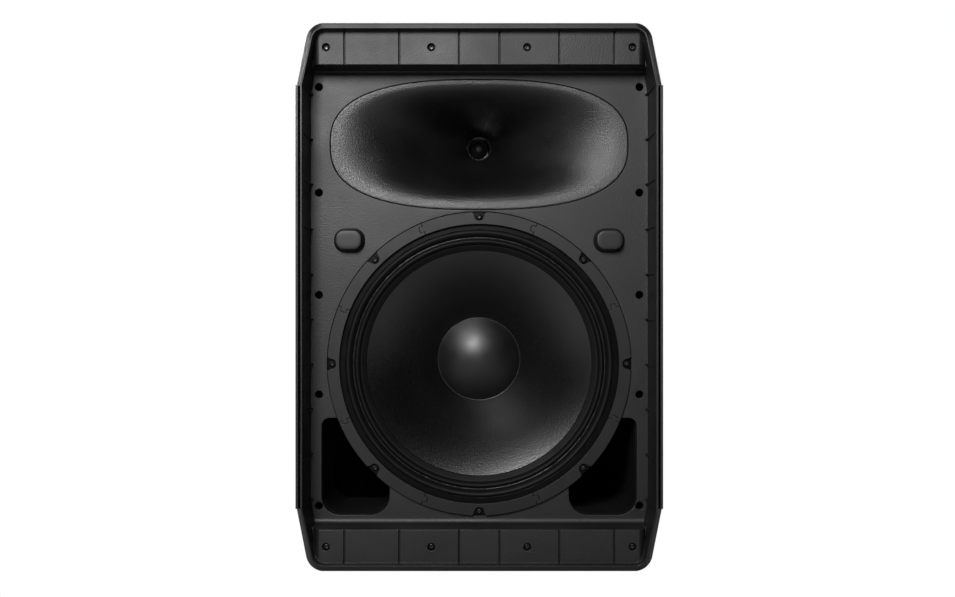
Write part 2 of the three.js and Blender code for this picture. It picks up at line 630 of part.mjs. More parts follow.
// A cup for a speaker stand's pole, with a flange let into the cabinet's underside.
function poleSocket() {
  const outer = POLE_RADIUS + POLE_SOCKET_WALL;
  return turnedAboutZ([
    [POLE_RADIUS, 0],
    [POLE_FLANGE_RADIUS, 0],
    [POLE_FLANGE_RADIUS, POLE_FLANGE_THICKNESS],
    [outer, POLE_FLANGE_THICKNESS],
    [outer, POLE_SOCKET_DEPTH + POLE_SOCKET_WALL],
    [0, POLE_SOCKET_DEPTH + POLE_SOCKET_WALL],
    [0, POLE_SOCKET_DEPTH],
    [POLE_RADIUS, POLE_SOCKET_DEPTH],
  ], 0, POLE_PLACE_Y);
}

const foot = ([x, y]) => cylinderZ(FOOT_RADIUS, -FOOT_PROUD, FOOT_RECESS - GAP, x, y);

// ---------- ports and bumpers ----------

// A duct behind the port's opening, as wide inside as the opening.
function portDuct() {
  const fromY = BAFFLE_BACK_Y + GAP;
  const toY = BAFFLE_Y + PORT_DEPTH;
  return carved(
    portOpening(-PORT_WALL, fromY, toY),
    portOpening(0, fromY - 1, toY + 1),
    cylinderY(WELL_RADIUS, fromY - 1, PARTING_Y, wellX, lowestWell, ROUND_TINY),
  );
}

function grilleBumper(x) {
  const corners = rectangle(BUMPER_LENGTH, BUMPER_WIDTH, BUMPER_WIDTH / 2 - 0.1);
  const cap = alongY(roundedPoints(corners, 22), BAFFLE_Y - BUMPER_PROUD, BAFFLE_Y - GAP)
    .translate([x, 0, BUMPER_HEIGHT]);
  return cap.add(cylinderY(BUMPER_STEM_RADIUS, BAFFLE_Y - 1, BAFFLE_BACK_Y, x, BUMPER_HEIGHT, ROUND_TINY));
}

// ---------- woofer ----------

const aboutWoofer = (profile, segments = ROUND) => turnedAboutY(profile, 0, WOOFER_HEIGHT, segments);

// The pressed frame: flange, conical skirt with six windows, spider ledge and the seat for the motor.
function wooferBasket() {
  const ledgeY = GASKET_Y + SPIDER_SINK;
  const seatY = TOP_PLATE_Y - GAP;
  const skirtTop = CUTOUT_RADIUS - 2;
  const body = aboutWoofer([
    [GASKET_INNER_RADIUS - 5, FLANGE_Y],
    [FRAME_RADIUS, FLANGE_Y],
    [FRAME_RADIUS, FLANGE_Y + FLANGE_THICKNESS],
    [skirtTop, FLANGE_Y + FLANGE_THICKNESS],
    [skirtTop - 4, FLANGE_Y + 22],
    [SPIDER_LEDGE_RADIUS + 18, ledgeY],
    [SPIDER_LEDGE_RADIUS + 12, seatY],
    [SPIDER_LEDGE_RADIUS - 8, seatY],
    [SPIDER_LEDGE_RADIUS - 8, seatY - BASKET_WALL],
    [SPIDER_LEDGE_RADIUS, seatY - BASKET_WALL],
    [SPIDER_LEDGE_RADIUS, ledgeY + 1],
    [SPIDER_LEDGE_RADIUS + 12, ledgeY + 1],
    [SPIDER_LEDGE_RADIUS + 14, ledgeY - 2],
    [skirtTop - 8, FLANGE_Y + 20],
    [skirtTop - 4.5, FLANGE_Y + FLANGE_THICKNESS],
  ]);
  const windowFrom = FLANGE_Y + 27;
  const windowTo = ledgeY - 10;
  const windows = Array.from({ length: 6 }, (_, i) => {
    const cut = box(-26, 26, windowFrom, windowTo, 60, FAR / 2);
    return cut.rotate([0, 30 + i * 60, 0]).translate([0, 0, WOOFER_HEIGHT]);
  });
  const holes = boltPlaces.map(([x, z]) =>
    cylinderY(BOLT_SHANK_RADIUS + GAP, FLANGE_Y - 1, FLANGE_Y + FLANGE_THICKNESS + 1, x, z, ROUND_TINY));
  return carved(body, ...windows, ...holes);
}

function wooferGasket() {
  const backY = GASKET_Y + GASKET_THICKNESS;
  const ring = ringY(GASKET_INNER_RADIUS, FRAME_RADIUS, GASKET_Y, backY, 0, WOOFER_HEIGHT, ROUND_FINE);
  const notches = boltPlaces.map(([x, z]) => cylinderY(NOTCH_RADIUS, GASKET_Y - 1, FLANGE_Y, x, z, 10));
  return carved(ring, ...notches);
}

// Two half rolls of coated cloth between the cone's edge and the frame's flange.
function wooferSurround() {
  const outer = GASKET_INNER_RADIUS - GAP;
  const inner = CONE_RADIUS + GAP;
  const middle = (outer + inner) / 2 - 2.4;
  const thickness = 1.4;
  const landY = GASKET_Y + GASKET_THICKNESS - thickness;
  const front = [
    [outer, landY],
    [outer - 2.4, landY],
    [(outer - 2.4 + middle) / 2, GASKET_Y + 0.6],
    [middle, landY + 2.4],
    [(inner + middle) / 2, GASKET_Y + 2.4],
    [inner, GASKET_Y + CONE_EDGE_SINK - thickness - 0.4],
  ];
  const back = front.map(([r, y]) => [r, y + thickness]).reverse();
  return aboutWoofer([...front, ...back]);
}

// The cone's depth at a radius: steep at the neck and flatter towards the edge.
function coneSink(radius) {
  const share = (radius - COIL_RADIUS) / (CONE_RADIUS - COIL_RADIUS);
  const neckSink = CAP_SINK + 7;
  return neckSink + (CONE_EDGE_SINK - neckSink) * share ** 0.86;
}

function wooferCone() {
  const neck = COIL_RADIUS + 1.2;
  const radii = [1, 0.72, 0.46, 0.22, 0].map((share) => neck + (CONE_RADIUS - neck) * share);
  const front = radii.map((r) => [r, GASKET_Y + coneSink(r)]);
  const back = radii.map((r) => [r, GASKET_Y + coneSink(r) + CONE_THICKNESS * 1.4]).reverse();
  return aboutWoofer([...front, ...back]);
}

function dustCap() {
  const steps = 4;
  const rimY = GASKET_Y + coneSink(CAP_RADIUS) - 0.6;
  const dome = (grow) =>
    Array.from({ length: steps + 1 }, (_, i) => {
      const r = (CAP_RADIUS * i) / steps;
      return [r, rimY - CAP_HEIGHT * (1 - (r / CAP_RADIUS) ** 2) + grow];
    });
  return aboutWoofer([...dome(-1), ...dome(0).reverse()]);
}

// The coil and its former: a tube that reaches from the cone's neck into the magnet's gap.
function voiceCoil() {
  const fromY = GASKET_Y + coneSink(COIL_RADIUS) - 3;
  return ringY(COIL_RADIUS - 0.6, COIL_RADIUS + 0.4, fromY, fromY + COIL_LENGTH, 0, WOOFER_HEIGHT);
}

// A corrugated cloth ring between the coil's former and the frame's ledge.
function wooferSpider() {
  const y = GASKET_Y + SPIDER_SINK;
  const inner = COIL_RADIUS + 0.4 + GAP;
  const outer = SPIDER_LEDGE_RADIUS + 11;
  const waves = 4;
  const front = Array.from({ length: waves + 1 }, (_, i) => [
    inner + ((outer - inner) * i) / waves,
    y - (i % 2 ? 1.4 : 0.6),
  ]);
  const back = front.map(([r, depth]) => [r, depth + 1.2]).reverse();
  return aboutWoofer([...front, ...back]);
}

const magnetGapRadius = COIL_RADIUS + 0.4 + SLIDE_GAP;
const poleRadius = COIL_RADIUS - 0.6 - SLIDE_GAP;

const wooferTopPlate = () =>
  ringY(magnetGapRadius, SPIDER_LEDGE_RADIUS + 10, TOP_PLATE_Y, MAGNET_Y - GAP, 0, WOOFER_HEIGHT);
const wooferMagnet = () =>
  ringY(COIL_RADIUS + 8, MAGNET_RADIUS, MAGNET_Y, BACK_PLATE_Y - GAP, 0, WOOFER_HEIGHT);

// The back plate and its pole, bored through for cooling.
function wooferBackPlate() {
  const vent = 11;
  return aboutWoofer([
    [vent, TOP_PLATE_Y - 1],
    [poleRadius, TOP_PLATE_Y - 1],
    [poleRadius, BACK_PLATE_Y],
    [MAGNET_RADIUS - 3, BACK_PLATE_Y],
    [MAGNET_RADIUS - 3, BACK_PLATE_Y + BACK_PLATE_THICKNESS],
    [vent, BACK_PLATE_Y + BACK_PLATE_THICKNESS],
  ]);
}

function wooferScrew(x, z) {
  const headY = FLANGE_Y - GAP;
  return cylinderY(BOLT_HEAD_RADIUS, headY - BOLT_HEAD_HEIGHT, headY, x, z, ROUND_TINY)
    .add(cylinderY(BOLT_SHANK_RADIUS, headY - 1, BAFFLE_BACK_Y, x, z, ROUND_TINY));
}

// ---------- horn and compression driver ----------

// Closed shell between rings of points: each ring is [points, y], and all have the same count.
function lofted(rings) {
  const count = rings[0][0].length;
  const positions = [];
  const corner = (ring, i) => {
    const [points, y] = rings[ring % rings.length];
    return [points[i % count].x, y, points[i % count].y];
  };
  for (let ring = 0; ring < rings.length; ring++) {
    for (let i = 0; i < count; i++) {
      const [a, b] = [corner(ring, i), corner(ring, i + 1)];
      const [c, d] = [corner(ring + 1, i), corner(ring + 1, i + 1)];
      positions.push(...a, ...c, ...b, ...b, ...c, ...d);
    }
  }
  const corners = new THREE.Float32BufferAttribute(positions, 3);
  return solidOf(new THREE.BufferGeometry().setAttribute("position", corners));
}

// The horn's section at a share of its width, from 0 at the throat to 1 at the mouth.
function hornSection(share, wall) {
  const mouthWidth = HORN_HALF_WIDTH - HORN_LIP;
  const mouthHeight = HORN_HALF_HEIGHT - HORN_LIP;
  const halfWidth = THROAT_RADIUS + (mouthWidth - THROAT_RADIUS) * share;
  const halfHeight = THROAT_RADIUS + (mouthHeight - THROAT_RADIUS) * share;
  const squareness = 2 + (HORN_SQUARENESS - 2) * Math.min(1, share * 2);
  const middle = THROAT_HEIGHT + (HORN_HEIGHT - THROAT_HEIGHT) * share;
  return hornPoints(halfWidth + wall, halfHeight + wall, squareness, middle);
}

function hornWaveguide() {
  const shares = [0, 0.06, 0.16, 0.3, 0.48, 0.7, 1];
  const mouthY = BAFFLE_Y + 0.6;
  const yAt = (share) => mouthY + (THROAT_Y - mouthY) * (1 - share) ** HORN_FLARE;
  const inside = shares.map((share) => [hornSection(share, 0), yAt(share)]);
  const outside = [...shares].reverse().slice(2)
    .map((share) => [hornSection(share, HORN_WALL), yAt(share) + HORN_WALL * share]);
  const rim = hornPoints(HORN_HALF_WIDTH, HORN_HALF_HEIGHT, HORN_SQUARENESS, HORN_HEIGHT);
  const flange = [
    [rim, BAFFLE_Y],
    [rim, BAFFLE_BACK_Y],
  ];
  return lofted([...inside, ...flange, ...outside]).add(
    ringY(THROAT_RADIUS, DRIVER_RADIUS - 8, THROAT_Y - 6, THROAT_Y, 0, THROAT_HEIGHT),
  );
}

const aboutDriver = (profile, segments = ROUND_SMALL) => turnedAboutY(profile, 0, THROAT_HEIGHT, segments);

// Magnet and plates in one block, with the throat's bore through its middle.
function driverMagnet() {
  const fromY = THROAT_Y + GAP;
  const toY = fromY + DRIVER_MAGNET_DEPTH;
  return aboutDriver([
    [THROAT_RADIUS, fromY],
    [DRIVER_RADIUS - 4, fromY],
    [DRIVER_RADIUS, fromY + 4],
    [DRIVER_RADIUS, toY],
    [DIAPHRAGM_RADIUS + 5, toY],
    [DIAPHRAGM_RADIUS, toY - 5],
    [THROAT_RADIUS + 3, toY - 8],
  ]);
}

// A plug with a rounded front that evens out the sound paths into the throat.
function phasePlug() {
  const toY = THROAT_Y + GAP + DRIVER_MAGNET_DEPTH - 6;
  return aboutDriver([
    [0, toY - 16],
    [3, toY - 15],
    [THROAT_RADIUS - 3, toY - 6],
    [THROAT_RADIUS - 1.5, toY],
    [THROAT_RADIUS - 3.5, toY + 1],
    [0, toY + 2.4],
  ]);
}

function driverDiaphragm() {
  const rimY = THROAT_Y + GAP + DRIVER_MAGNET_DEPTH + 1.4;
  const reach = DIAPHRAGM_RADIUS;
  return aboutDriver([
    [0, rimY + 7],
    [reach * 0.5, rimY + 5.4],
    [reach, rimY],
    [reach, rimY + 0.8],
    [reach * 0.5, rimY + 6.2],
    [0, rimY + 7.8],
  ]);
}

function driverCap() {
  const fromY = THROAT_Y + GAP + DRIVER_MAGNET_DEPTH + GAP;
  const toY = fromY + DRIVER_CAP_DEPTH;
  const wall = 3;
  return aboutDriver([
    [0, toY],
    [DRIVER_RADIUS - 10, toY],
    [DRIVER_RADIUS - 3, toY - 6],
    [DRIVER_RADIUS - 3, fromY],
    [DIAPHRAGM_RADIUS + 4, fromY],
    [DIAPHRAGM_RADIUS + 4, toY - 8],
    [DIAPHRAGM_RADIUS, toY - wall],
    [0, toY - wall],
  ]);
}

// ---------- amplifier ----------

const knobPlaces = [-1, 0, 1].map((i) => [i * KNOB_PITCH, KNOB_ROW_HEIGHT]);
const BUTTON_PLACE = [-KNOB_PITCH * 2, KNOB_ROW_HEIGHT];
const LED_PLACE = [KNOB_PITCH * 2, KNOB_ROW_HEIGHT];
const socketPlaces = [-1, 0, 1].map((i) => [i * SOCKET_PITCH, SOCKET_ROW_HEIGHT]);

// A block through the panel with a clearance round it, for what is seated in the panel.
function panelHole(width, height, x, z) {
  const [reachX, reachZ] = [width / 2 + GAP, height / 2 + GAP];
  return box(x - reachX, x + reachX, PANEL_BACK_Y - 1, PANEL_Y + 1, z - reachZ, z + reachZ);
}

function ampPanel() {
  const plate = panelBlock(0, PANEL_BACK_Y, PANEL_Y);
  const roundHole = (radius, [x, z]) =>
    cylinderY(radius, PANEL_BACK_Y - 1, PANEL_Y + 1, x, z, ROUND_TINY);
  const shafts = knobPlaces.map((place) => roundHole(KNOB_SHAFT_RADIUS + SLIDE_GAP, place));
  const button = roundHole(BUTTON_RADIUS + SLIDE_GAP, BUTTON_PLACE);
  const lamp = roundHole(LED_RADIUS + GAP, LED_PLACE);
  const sockets = socketPlaces.map(([x, z]) => panelHole(SOCKET_WIDTH - 4, SOCKET_BODY_HEIGHT - 4, x, z));
  return carved(
    plate, ...shafts, button, lamp, ...sockets,
    panelHole(INLET_WIDTH, INLET_BODY_HEIGHT, INLET_PLACE, MAINS_ROW_HEIGHT),
    panelHole(ROCKER_WIDTH + 2 * SLIDE_GAP, ROCKER_HEIGHT + 2 * SLIDE_GAP, ROCKER_PLACE, MAINS_ROW_HEIGHT),
    panelHole(SINK_WIDTH, SINK_HEIGHT, 0, SINK_MIDDLE_HEIGHT),
  );
}

// A cast plate seated in the panel's window, with upright fins towards the rear.
function heatSink() {
  const bottom = SINK_MIDDLE_HEIGHT - SINK_HEIGHT / 2;
  const top = SINK_MIDDLE_HEIGHT + SINK_HEIGHT / 2;
  const baseY = PANEL_Y - SINK_BASE;
  const base = box(-SINK_WIDTH / 2, SINK_WIDTH / 2, baseY, PANEL_Y, bottom, top);
  const pitch = (SINK_WIDTH - SINK_FIN_THICKNESS) / (SINK_FIN_COUNT - 1);
  const fins = Array.from({ length: SINK_FIN_COUNT }, (_, i) => {
    const x = -SINK_WIDTH / 2 + i * pitch;
    return box(x, x + SINK_FIN_THICKNESS, PANEL_Y - 1, PANEL_Y + SINK_FIN_DEPTH, bottom, top);
  });
  return joined(base, ...fins);
}

const circuitBoard = () =>
  box(
    -BOARD_WIDTH / 2, BOARD_WIDTH / 2, BOARD_Y, BOARD_Y + BOARD_THICKNESS,
    PANEL_MIDDLE_HEIGHT - BOARD_HEIGHT / 2, PANEL_MIDDLE_HEIGHT + BOARD_HEIGHT / 2,
  );

const boardFaceY = BOARD_Y - GAP;
const capacitor = (x) =>
  cylinderY(CAPACITOR_RADIUS, boardFaceY - CAPACITOR_LENGTH, boardFaceY, x, 160);

function transformer() {
  const [width, depth, height] = TRANSFORMER_SIZE;
  const core = box(-width / 2, width / 2, boardFaceY - depth, boardFaceY, 200, 200 + height);
  const coil = box(-width / 2 - 5, width / 2 + 5, boardFaceY - depth + 5, boardFaceY - 5, 207, 193 + height);
  return core.add(coil);
}

// A round-bored socket body with a flange outside the panel; its latch sits in a slot above the bore.
function signalSocket([x, z], withLatch) {
  const plate = roundedPoints(rectangle(SOCKET_WIDTH, SOCKET_BODY_HEIGHT, 3));
  const flange = alongY(plate, PANEL_Y + GAP, PANEL_Y + GAP + SOCKET_FLANGE).translate([x, 0, z]);
  const body = box(
    x - SOCKET_WIDTH / 2 + 2, x + SOCKET_WIDTH / 2 - 2, PANEL_Y - SOCKET_DEPTH, PANEL_Y + 1,
    z - SOCKET_BODY_HEIGHT / 2 + 2, z + SOCKET_BODY_HEIGHT / 2 - 2,
  );
  const bore = cylinderY(SOCKET_BORE_RADIUS, PANEL_Y - SOCKET_DEPTH + 4, BACK_Y, x, z - SOCKET_BORE_DROP);
  const slotZ = z + LATCH_RISE;
  const slot = box(
    x - LATCH_WIDTH / 2 - SLIDE_GAP, x + LATCH_WIDTH / 2 + SLIDE_GAP, PANEL_Y - 6, BACK_Y,
    slotZ - LATCH_HEIGHT / 2 - SLIDE_GAP / 2, slotZ + LATCH_HEIGHT / 2 + SLIDE_GAP / 2,
  );
  return withLatch ? carved(flange.add(body), bore, slot) : carved(flange.add(body), bore);
}

function latchTab([x, z]) {
  const face = PANEL_Y + GAP + SOCKET_FLANGE;
  return box(
    x - LATCH_WIDTH / 2, x + LATCH_WIDTH / 2, face - 3, face + LATCH_PROUD,
    z + LATCH_RISE - LATCH_HEIGHT / 2, z + LATCH_RISE + LATCH_HEIGHT / 2,
  );
}

// An inlet for a mains lead: a shrouded recess with a flange outside the panel.
function mainsInlet() {
  const [x, z] = [INLET_PLACE, MAINS_ROW_HEIGHT];
  const block = (width, height, r, fromY, toY) =>
    alongY(roundedPoints(rectangle(width, height, r)), fromY, toY).translate([x, 0, z]);
  const body = block(INLET_WIDTH, INLET_BODY_HEIGHT, 2, PANEL_Y - INLET_DEPTH, PANEL_Y + 1);
  const flangeY = PANEL_Y + GAP;
  const flange = block(INLET_WIDTH + 8, INLET_BODY_HEIGHT + 6, 4, flangeY, flangeY + SOCKET_FLANGE);
  const recess = block(INLET_WIDTH - 5, INLET_BODY_HEIGHT - 5, 3, PANEL_Y - INLET_DEPTH + 4, BACK_Y);
  const pins = [-7, 0, 7].map((dx) =>
    box(x + dx - 1, x + dx + 1, PANEL_Y - INLET_DEPTH + 3, PANEL_Y - 4, z - 2, z + 2));
  return joined(carved(body.add(flange), recess), ...pins);
}

// A rocker that tips about a level axis in the panel's face. It is shown in its off position.
function powerRocker() {
  const [x, z] = [ROCKER_PLACE, MAINS_ROW_HEIGHT];
  const profile = [
    { x: PANEL_BACK_Y - 4, y: -ROCKER_HEIGHT / 2 + 3, r: 0 },
    { x: PANEL_Y, y: -ROCKER_HEIGHT / 2, r: 0 },
    { x: PANEL_Y + ROCKER_PROUD, y: -ROCKER_HEIGHT / 2 + 1, r: 1 },
    { x: PANEL_Y + ROCKER_PROUD - 1.6, y: 0, r: 0 },
    { x: PANEL_Y + ROCKER_PROUD, y: ROCKER_HEIGHT / 2 - 1, r: 1 },
    { x: PANEL_Y, y: ROCKER_HEIGHT / 2, r: 0 },
    { x: PANEL_BACK_Y - 4, y: ROCKER_HEIGHT / 2 - 3, r: 0 },
  ];
  return alongX(roundedPoints(profile), x - ROCKER_WIDTH / 2, x + ROCKER_WIDTH / 2)
    .translate([0, -PANEL_Y, 0])
    .rotate([-ROCKER_THROW, 0, 0])
    .translate([0, PANEL_Y, z]);
}

// A tapered knob with a shaft through the panel.
function levelKnob([x, z]) {
  const baseY = PANEL_Y + SLIDE_GAP;
  const body = turnedAboutY([
    [0, baseY],
    [KNOB_RADIUS, baseY],
    [KNOB_RADIUS, baseY + 2],
    [KNOB_RADIUS - 1.4, baseY + KNOB_HEIGHT],
    [0, baseY + KNOB_HEIGHT],
  ], x, z);
  const pointer = box(x - 0.8, x + 0.8, baseY + 4, baseY + KNOB_HEIGHT + 0.6, z + 1, z + KNOB_RADIUS - 1);
  const shaft = cylinderY(KNOB_SHAFT_RADIUS, PANEL_BACK_Y - 8, baseY + 1, x, z, ROUND_TINY);
  return joined(body, pointer, shaft);
}

// A push button with a shallow dished face.
function modeButton() {
  const [x, z] = BUTTON_PLACE;
  return turnedAboutY([
    [0, PANEL_BACK_Y - 6],
    [BUTTON_RADIUS, PANEL_BACK_Y - 6],
    [BUTTON_RADIUS, PANEL_Y + BUTTON_PROUD],
    [0, PANEL_Y + BUTTON_PROUD - 0.6],
  ], x, z);
}

function statusLens() {
  const [x, z] = LED_PLACE;
  return turnedAboutY([
    [0, PANEL_BACK_Y - 3],
    [LED_RADIUS, PANEL_BACK_Y - 3],
    [LED_RADIUS, PANEL_Y + 1],
    [LED_RADIUS * 0.6, PANEL_Y + 2.2],
    [0, PANEL_Y + 2.6],
  ], x, z, ROUND_TINY);
}

// ---------- inside ----------

// Damping foam along the right-hand inner side wall.
function acousticLining() {
  const outer = cabinetForm(SHELL_WALL + GAP, PARTING_Y + 20, PANEL_Y - SOCKET_DEPTH - 40);
  const inner = cabinetForm(SHELL_WALL + GAP + LINING_THICKNESS, PARTING_Y, BACK_Y);
  const ends = box(-FAR, FAR, -FAR, FAR, 160, 330);
  const openFront = box(-FAR, REAR_WIDTH / 2, -FAR, FAR, -FAR, FAR);
  return outer.intersect(ends).subtract(inner).subtract(openFront);
}

const wooferLead = () =>
  tubeAlong([
    [40, BOARD_Y - 1 - GAP, 170],
    [42, BOARD_Y - 26, 168],
    [60, 60, 150],
    [92, 22, 150],
    [97, -8, 168],
    [90, -16, 190],
  ], LEAD_RADIUS, 14);

const driverLead = () =>
  tubeAlong([
    [-40, BOARD_Y - 1 - GAP, 300],
    [-42, BOARD_Y - 20, 302],
    [-56, 66, 340],
    [-58, 50, 385],
    [-54, 44, 415],
    [-DRIVER_RADIUS - 3.5, 40, THROAT_HEIGHT],
  ], LEAD_RADIUS * 0.8, 14);

// ---------- assembly ----------

addPart("front_shell", frontShell(), MATERIALS.shell);
addPart("rear_shell", rearShell(), MATERIALS.shell);
addPart("handle_grip", handleGrip(), MATERIALS.rubber);
addPart("pole_socket", poleSocket(), MATERIALS.shell);
[
  ["foot_front_right", foot(FRONT_FOOT_PLACE)],
  ["foot_front_left", mirrored(foot(FRONT_FOOT_PLACE))],
  ["foot_rear_right", foot(REAR_FOOT_PLACE)],
  ["foot_rear_left", mirrored(foot(REAR_FOOT_PLACE))],
].forEach(([name, solid]) => addPart(name, solid, MATERIALS.rubber));

addPart("port_duct_right", portDuct(), MATERIALS.shell);
addPart("port_duct_left", mirrored(portDuct()), MATERIALS.shell);
addPart("grille_bumper_right", grilleBumper(BUMPER_PLACE), MATERIALS.rubber);
addPart("grille_bumper_left", grilleBumper(-BUMPER_PLACE), MATERIALS.rubber);

addPart("horn_waveguide", hornWaveguide(), MATERIALS.horn);
addPart("driver_magnet", driverMagnet(), MATERIALS.paintedMetal);
addPart("driver_phase_plug", phasePlug(), MATERIALS.aluminium);
addPart("driver_diaphragm", driverDiaphragm(), MATERIALS.aluminium);
addPart("driver_cap", driverCap(), MATERIALS.shell);

addPart("woofer_basket", wooferBasket(), MATERIALS.paintedMetal);
addPart("woofer_gasket", wooferGasket(), MATERIALS.rubber);
addPart("woofer_surround", wooferSurround(), MATERIALS.cloth);
addPart("woofer_cone", wooferCone(), MATERIALS.paper);
addPart("woofer_dust_cap", dustCap(), MATERIALS.paper);
addPart("woofer_voice_coil", voiceCoil(), MATERIALS.aluminium);
addPart("woofer_spider", wooferSpider(), MATERIALS.cloth);
addPart("woofer_top_plate", wooferTopPlate(), MATERIALS.steel);
addPart("woofer_magnet", wooferMagnet(), MATERIALS.ferrite);
addPart("woofer_back_plate", wooferBackPlate(), MATERIALS.steel);
boltPlaces.forEach(([x, z], i) => addPart(`woofer_screw_${i + 1}`, wooferScrew(x, z), MATERIALS.steel));

addPart("amp_panel", ampPanel(), MATERIALS.paintedMetal);
addPart("amp_heat_sink", heatSink(), MATERIALS.aluminium);
addPart("amp_circuit_board", circuitBoard(), MATERIALS.board);
addPart("amp_capacitor_left", capacitor(-22), MATERIALS.aluminium);
addPart("amp_capacitor_right", capacitor(22), MATERIALS.aluminium);
addPart("amp_transformer", transformer(), MATERIALS.ferrite);
addPart("input_socket_left", signalSocket(socketPlaces[0], true), MATERIALS.shell);
addPart("input_socket_right", signalSocket(socketPlaces[1], true), MATERIALS.shell);
addPart("link_socket", signalSocket(socketPlaces[2], false), MATERIALS.shell);
addPart("latch_tab_left", latchTab(socketPlaces[0]), MATERIALS.steel);
addPart("latch_tab_right", latchTab(socketPlaces[1]), MATERIALS.steel);
addPart("mains_inlet", mainsInlet(), MATERIALS.shell);
addPart("power_rocker", powerRocker(), MATERIALS.shell);
knobPlaces.forEach((place, i) => addPart(`level_knob_${i + 1}`, levelKnob(place), MATERIALS.shell));
addPart("mode_button", modeButton(), MATERIALS.rubber);
addPart("status_lens", statusLens(), MATERIALS.lens);

addPart("acoustic_lining_right", acousticLining(), MATERIALS.foam);
addPart("acoustic_lining_left", mirrored(acousticLining()), MATERIALS.foam);
addPart("woofer_lead", wooferLead(), MATERIALS.rubber);
addPart("driver_lead", driverLead(), MATERIALS.rubber);

export default parts;
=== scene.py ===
"""Looks of a two-way powered loudspeaker cabinet with its grille taken off.

Lengths are in millimetres until a mesh is made. Heights are counted from the cabinet's underside.
"""

import math
import random

import bmesh
import bpy
from mathutils import Matrix, Vector


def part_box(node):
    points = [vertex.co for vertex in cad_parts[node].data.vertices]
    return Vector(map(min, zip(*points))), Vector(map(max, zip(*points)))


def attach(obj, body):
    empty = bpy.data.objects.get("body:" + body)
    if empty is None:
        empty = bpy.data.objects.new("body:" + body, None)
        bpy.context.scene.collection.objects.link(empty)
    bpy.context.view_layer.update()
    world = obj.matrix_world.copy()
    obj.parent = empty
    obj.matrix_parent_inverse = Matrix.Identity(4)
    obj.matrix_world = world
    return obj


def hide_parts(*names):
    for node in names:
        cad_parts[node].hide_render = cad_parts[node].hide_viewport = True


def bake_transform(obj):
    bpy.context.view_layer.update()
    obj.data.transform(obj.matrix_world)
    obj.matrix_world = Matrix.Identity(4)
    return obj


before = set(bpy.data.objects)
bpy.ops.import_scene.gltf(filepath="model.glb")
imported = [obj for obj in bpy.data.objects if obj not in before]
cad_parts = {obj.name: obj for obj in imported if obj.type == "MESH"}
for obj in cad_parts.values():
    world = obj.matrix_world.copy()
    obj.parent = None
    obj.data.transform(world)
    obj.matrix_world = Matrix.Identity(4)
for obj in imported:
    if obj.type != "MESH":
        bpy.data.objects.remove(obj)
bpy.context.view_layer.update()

MM = 0.001
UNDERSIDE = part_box("front_shell")[0].z / MM
FAR = 1000
random.seed(7)


# ---------- places taken from the frame ----------

def node_box(node):
    """Lowest and highest corner of a CAD node, with heights from the cabinet's underside."""
    lift = Vector((0, 0, UNDERSIDE))
    low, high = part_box(node)
    return low / MM - lift, high / MM - lift


def node_middle(node):
    low, high = node_box(node)
    return (low + high) / 2


shell_low, shell_high = node_box("front_shell")
rear_low, rear_high = node_box("rear_shell")
WIDTH = shell_high.x - shell_low.x
HEIGHT = shell_high.z
FRONT = shell_low.y
PARTING = shell_high.y
BACK = rear_high.y

gasket_low, gasket_high = node_box("woofer_gasket")
WOOFER_Z = (gasket_low.z + gasket_high.z) / 2
FRAME_R = (gasket_high.z - gasket_low.z) / 2
GASKET_FACE = gasket_low.y
GASKET_BACK = gasket_high.y
cone_low, cone_high = node_box("woofer_cone")
CONE_R = (cone_high.z - cone_low.z) / 2
CONE_EDGE = cone_low.y
cap_low, cap_high = node_box("woofer_dust_cap")
CAP_R = (cap_high.z - cap_low.z) / 2
CAP_SEAT = cap_high.y

horn_low, horn_high = node_box("horn_waveguide")
HORN_Z = (horn_low.z + horn_high.z) / 2
HORN_HALF_WIDTH = horn_high.x
HORN_HALF_HEIGHT = (horn_high.z - horn_low.z) / 2
BAFFLE = horn_low.y
THROAT = horn_high.y
THROAT_Z = node_middle("driver_magnet").z

# ---------- sizes of the cabinet ----------

BAFFLE_THICKNESS = 8
WALL = 4
RAIL = 6.4
RIM = 5.5
CORNER_INSET = 9.8
CORNER_RISE = 61.9
CORNER_R = 16.3
RIM_SETBACK = 10.8
RIM_CHAMFER = 4.9
RIM_SLOPE_UP = 0.12
RIM_SLOPE_SIDE = 1.1
SHELF = FRONT + 19.5
SHELF_TILT = -1.2
SHELF_HEIGHT = 37.8
SHELF_END = 153.6
SHELF_END_ROLL = 8
COVE = 5.2
TAPER_START = FRONT + 136
REAR_WIDTH = 236
REAR_CORNER_R = 22
REAR_TOP_DROP = 20
REAR_BOTTOM_RISE = 12
REAR_CHAMFER_RUN = 46
GROOVE = 1.5
GROOVE_DEPTH = 7
GROOVE_LIP = 2.6
WELL_R = 3.8
WELL_X = WIDTH / 2 - 14.6
WELL_HEIGHTS = [54.9, 165.8, 264.9, 366.7, 471.9]
SHELF_SCREW_R = 3.7
SHELF_SCREW_XS = [-148.3, -46.4, 46.4, 148.3]
SHELF_SCREW_ZS = [21.1, HEIGHT - 21.1]
SHELF_GROOVE_XS = [19.6, 77.4, 130.5]
GROOVE_CUT = 2.4
SEAT_GAP = 0.35
FRAME_GAP = 0.7
SIDE_RIB_PITCH = 44.7
SIDE_RIB_COUNT = 10
SIDE_RIB_TOP = 464.3

HORN_SQUARENESS = 2.6
HORN_THROAT_R = 12.7
HORN_LIP = 3.4
HORN_WALL = 3
HORN_FLARE = 1.85

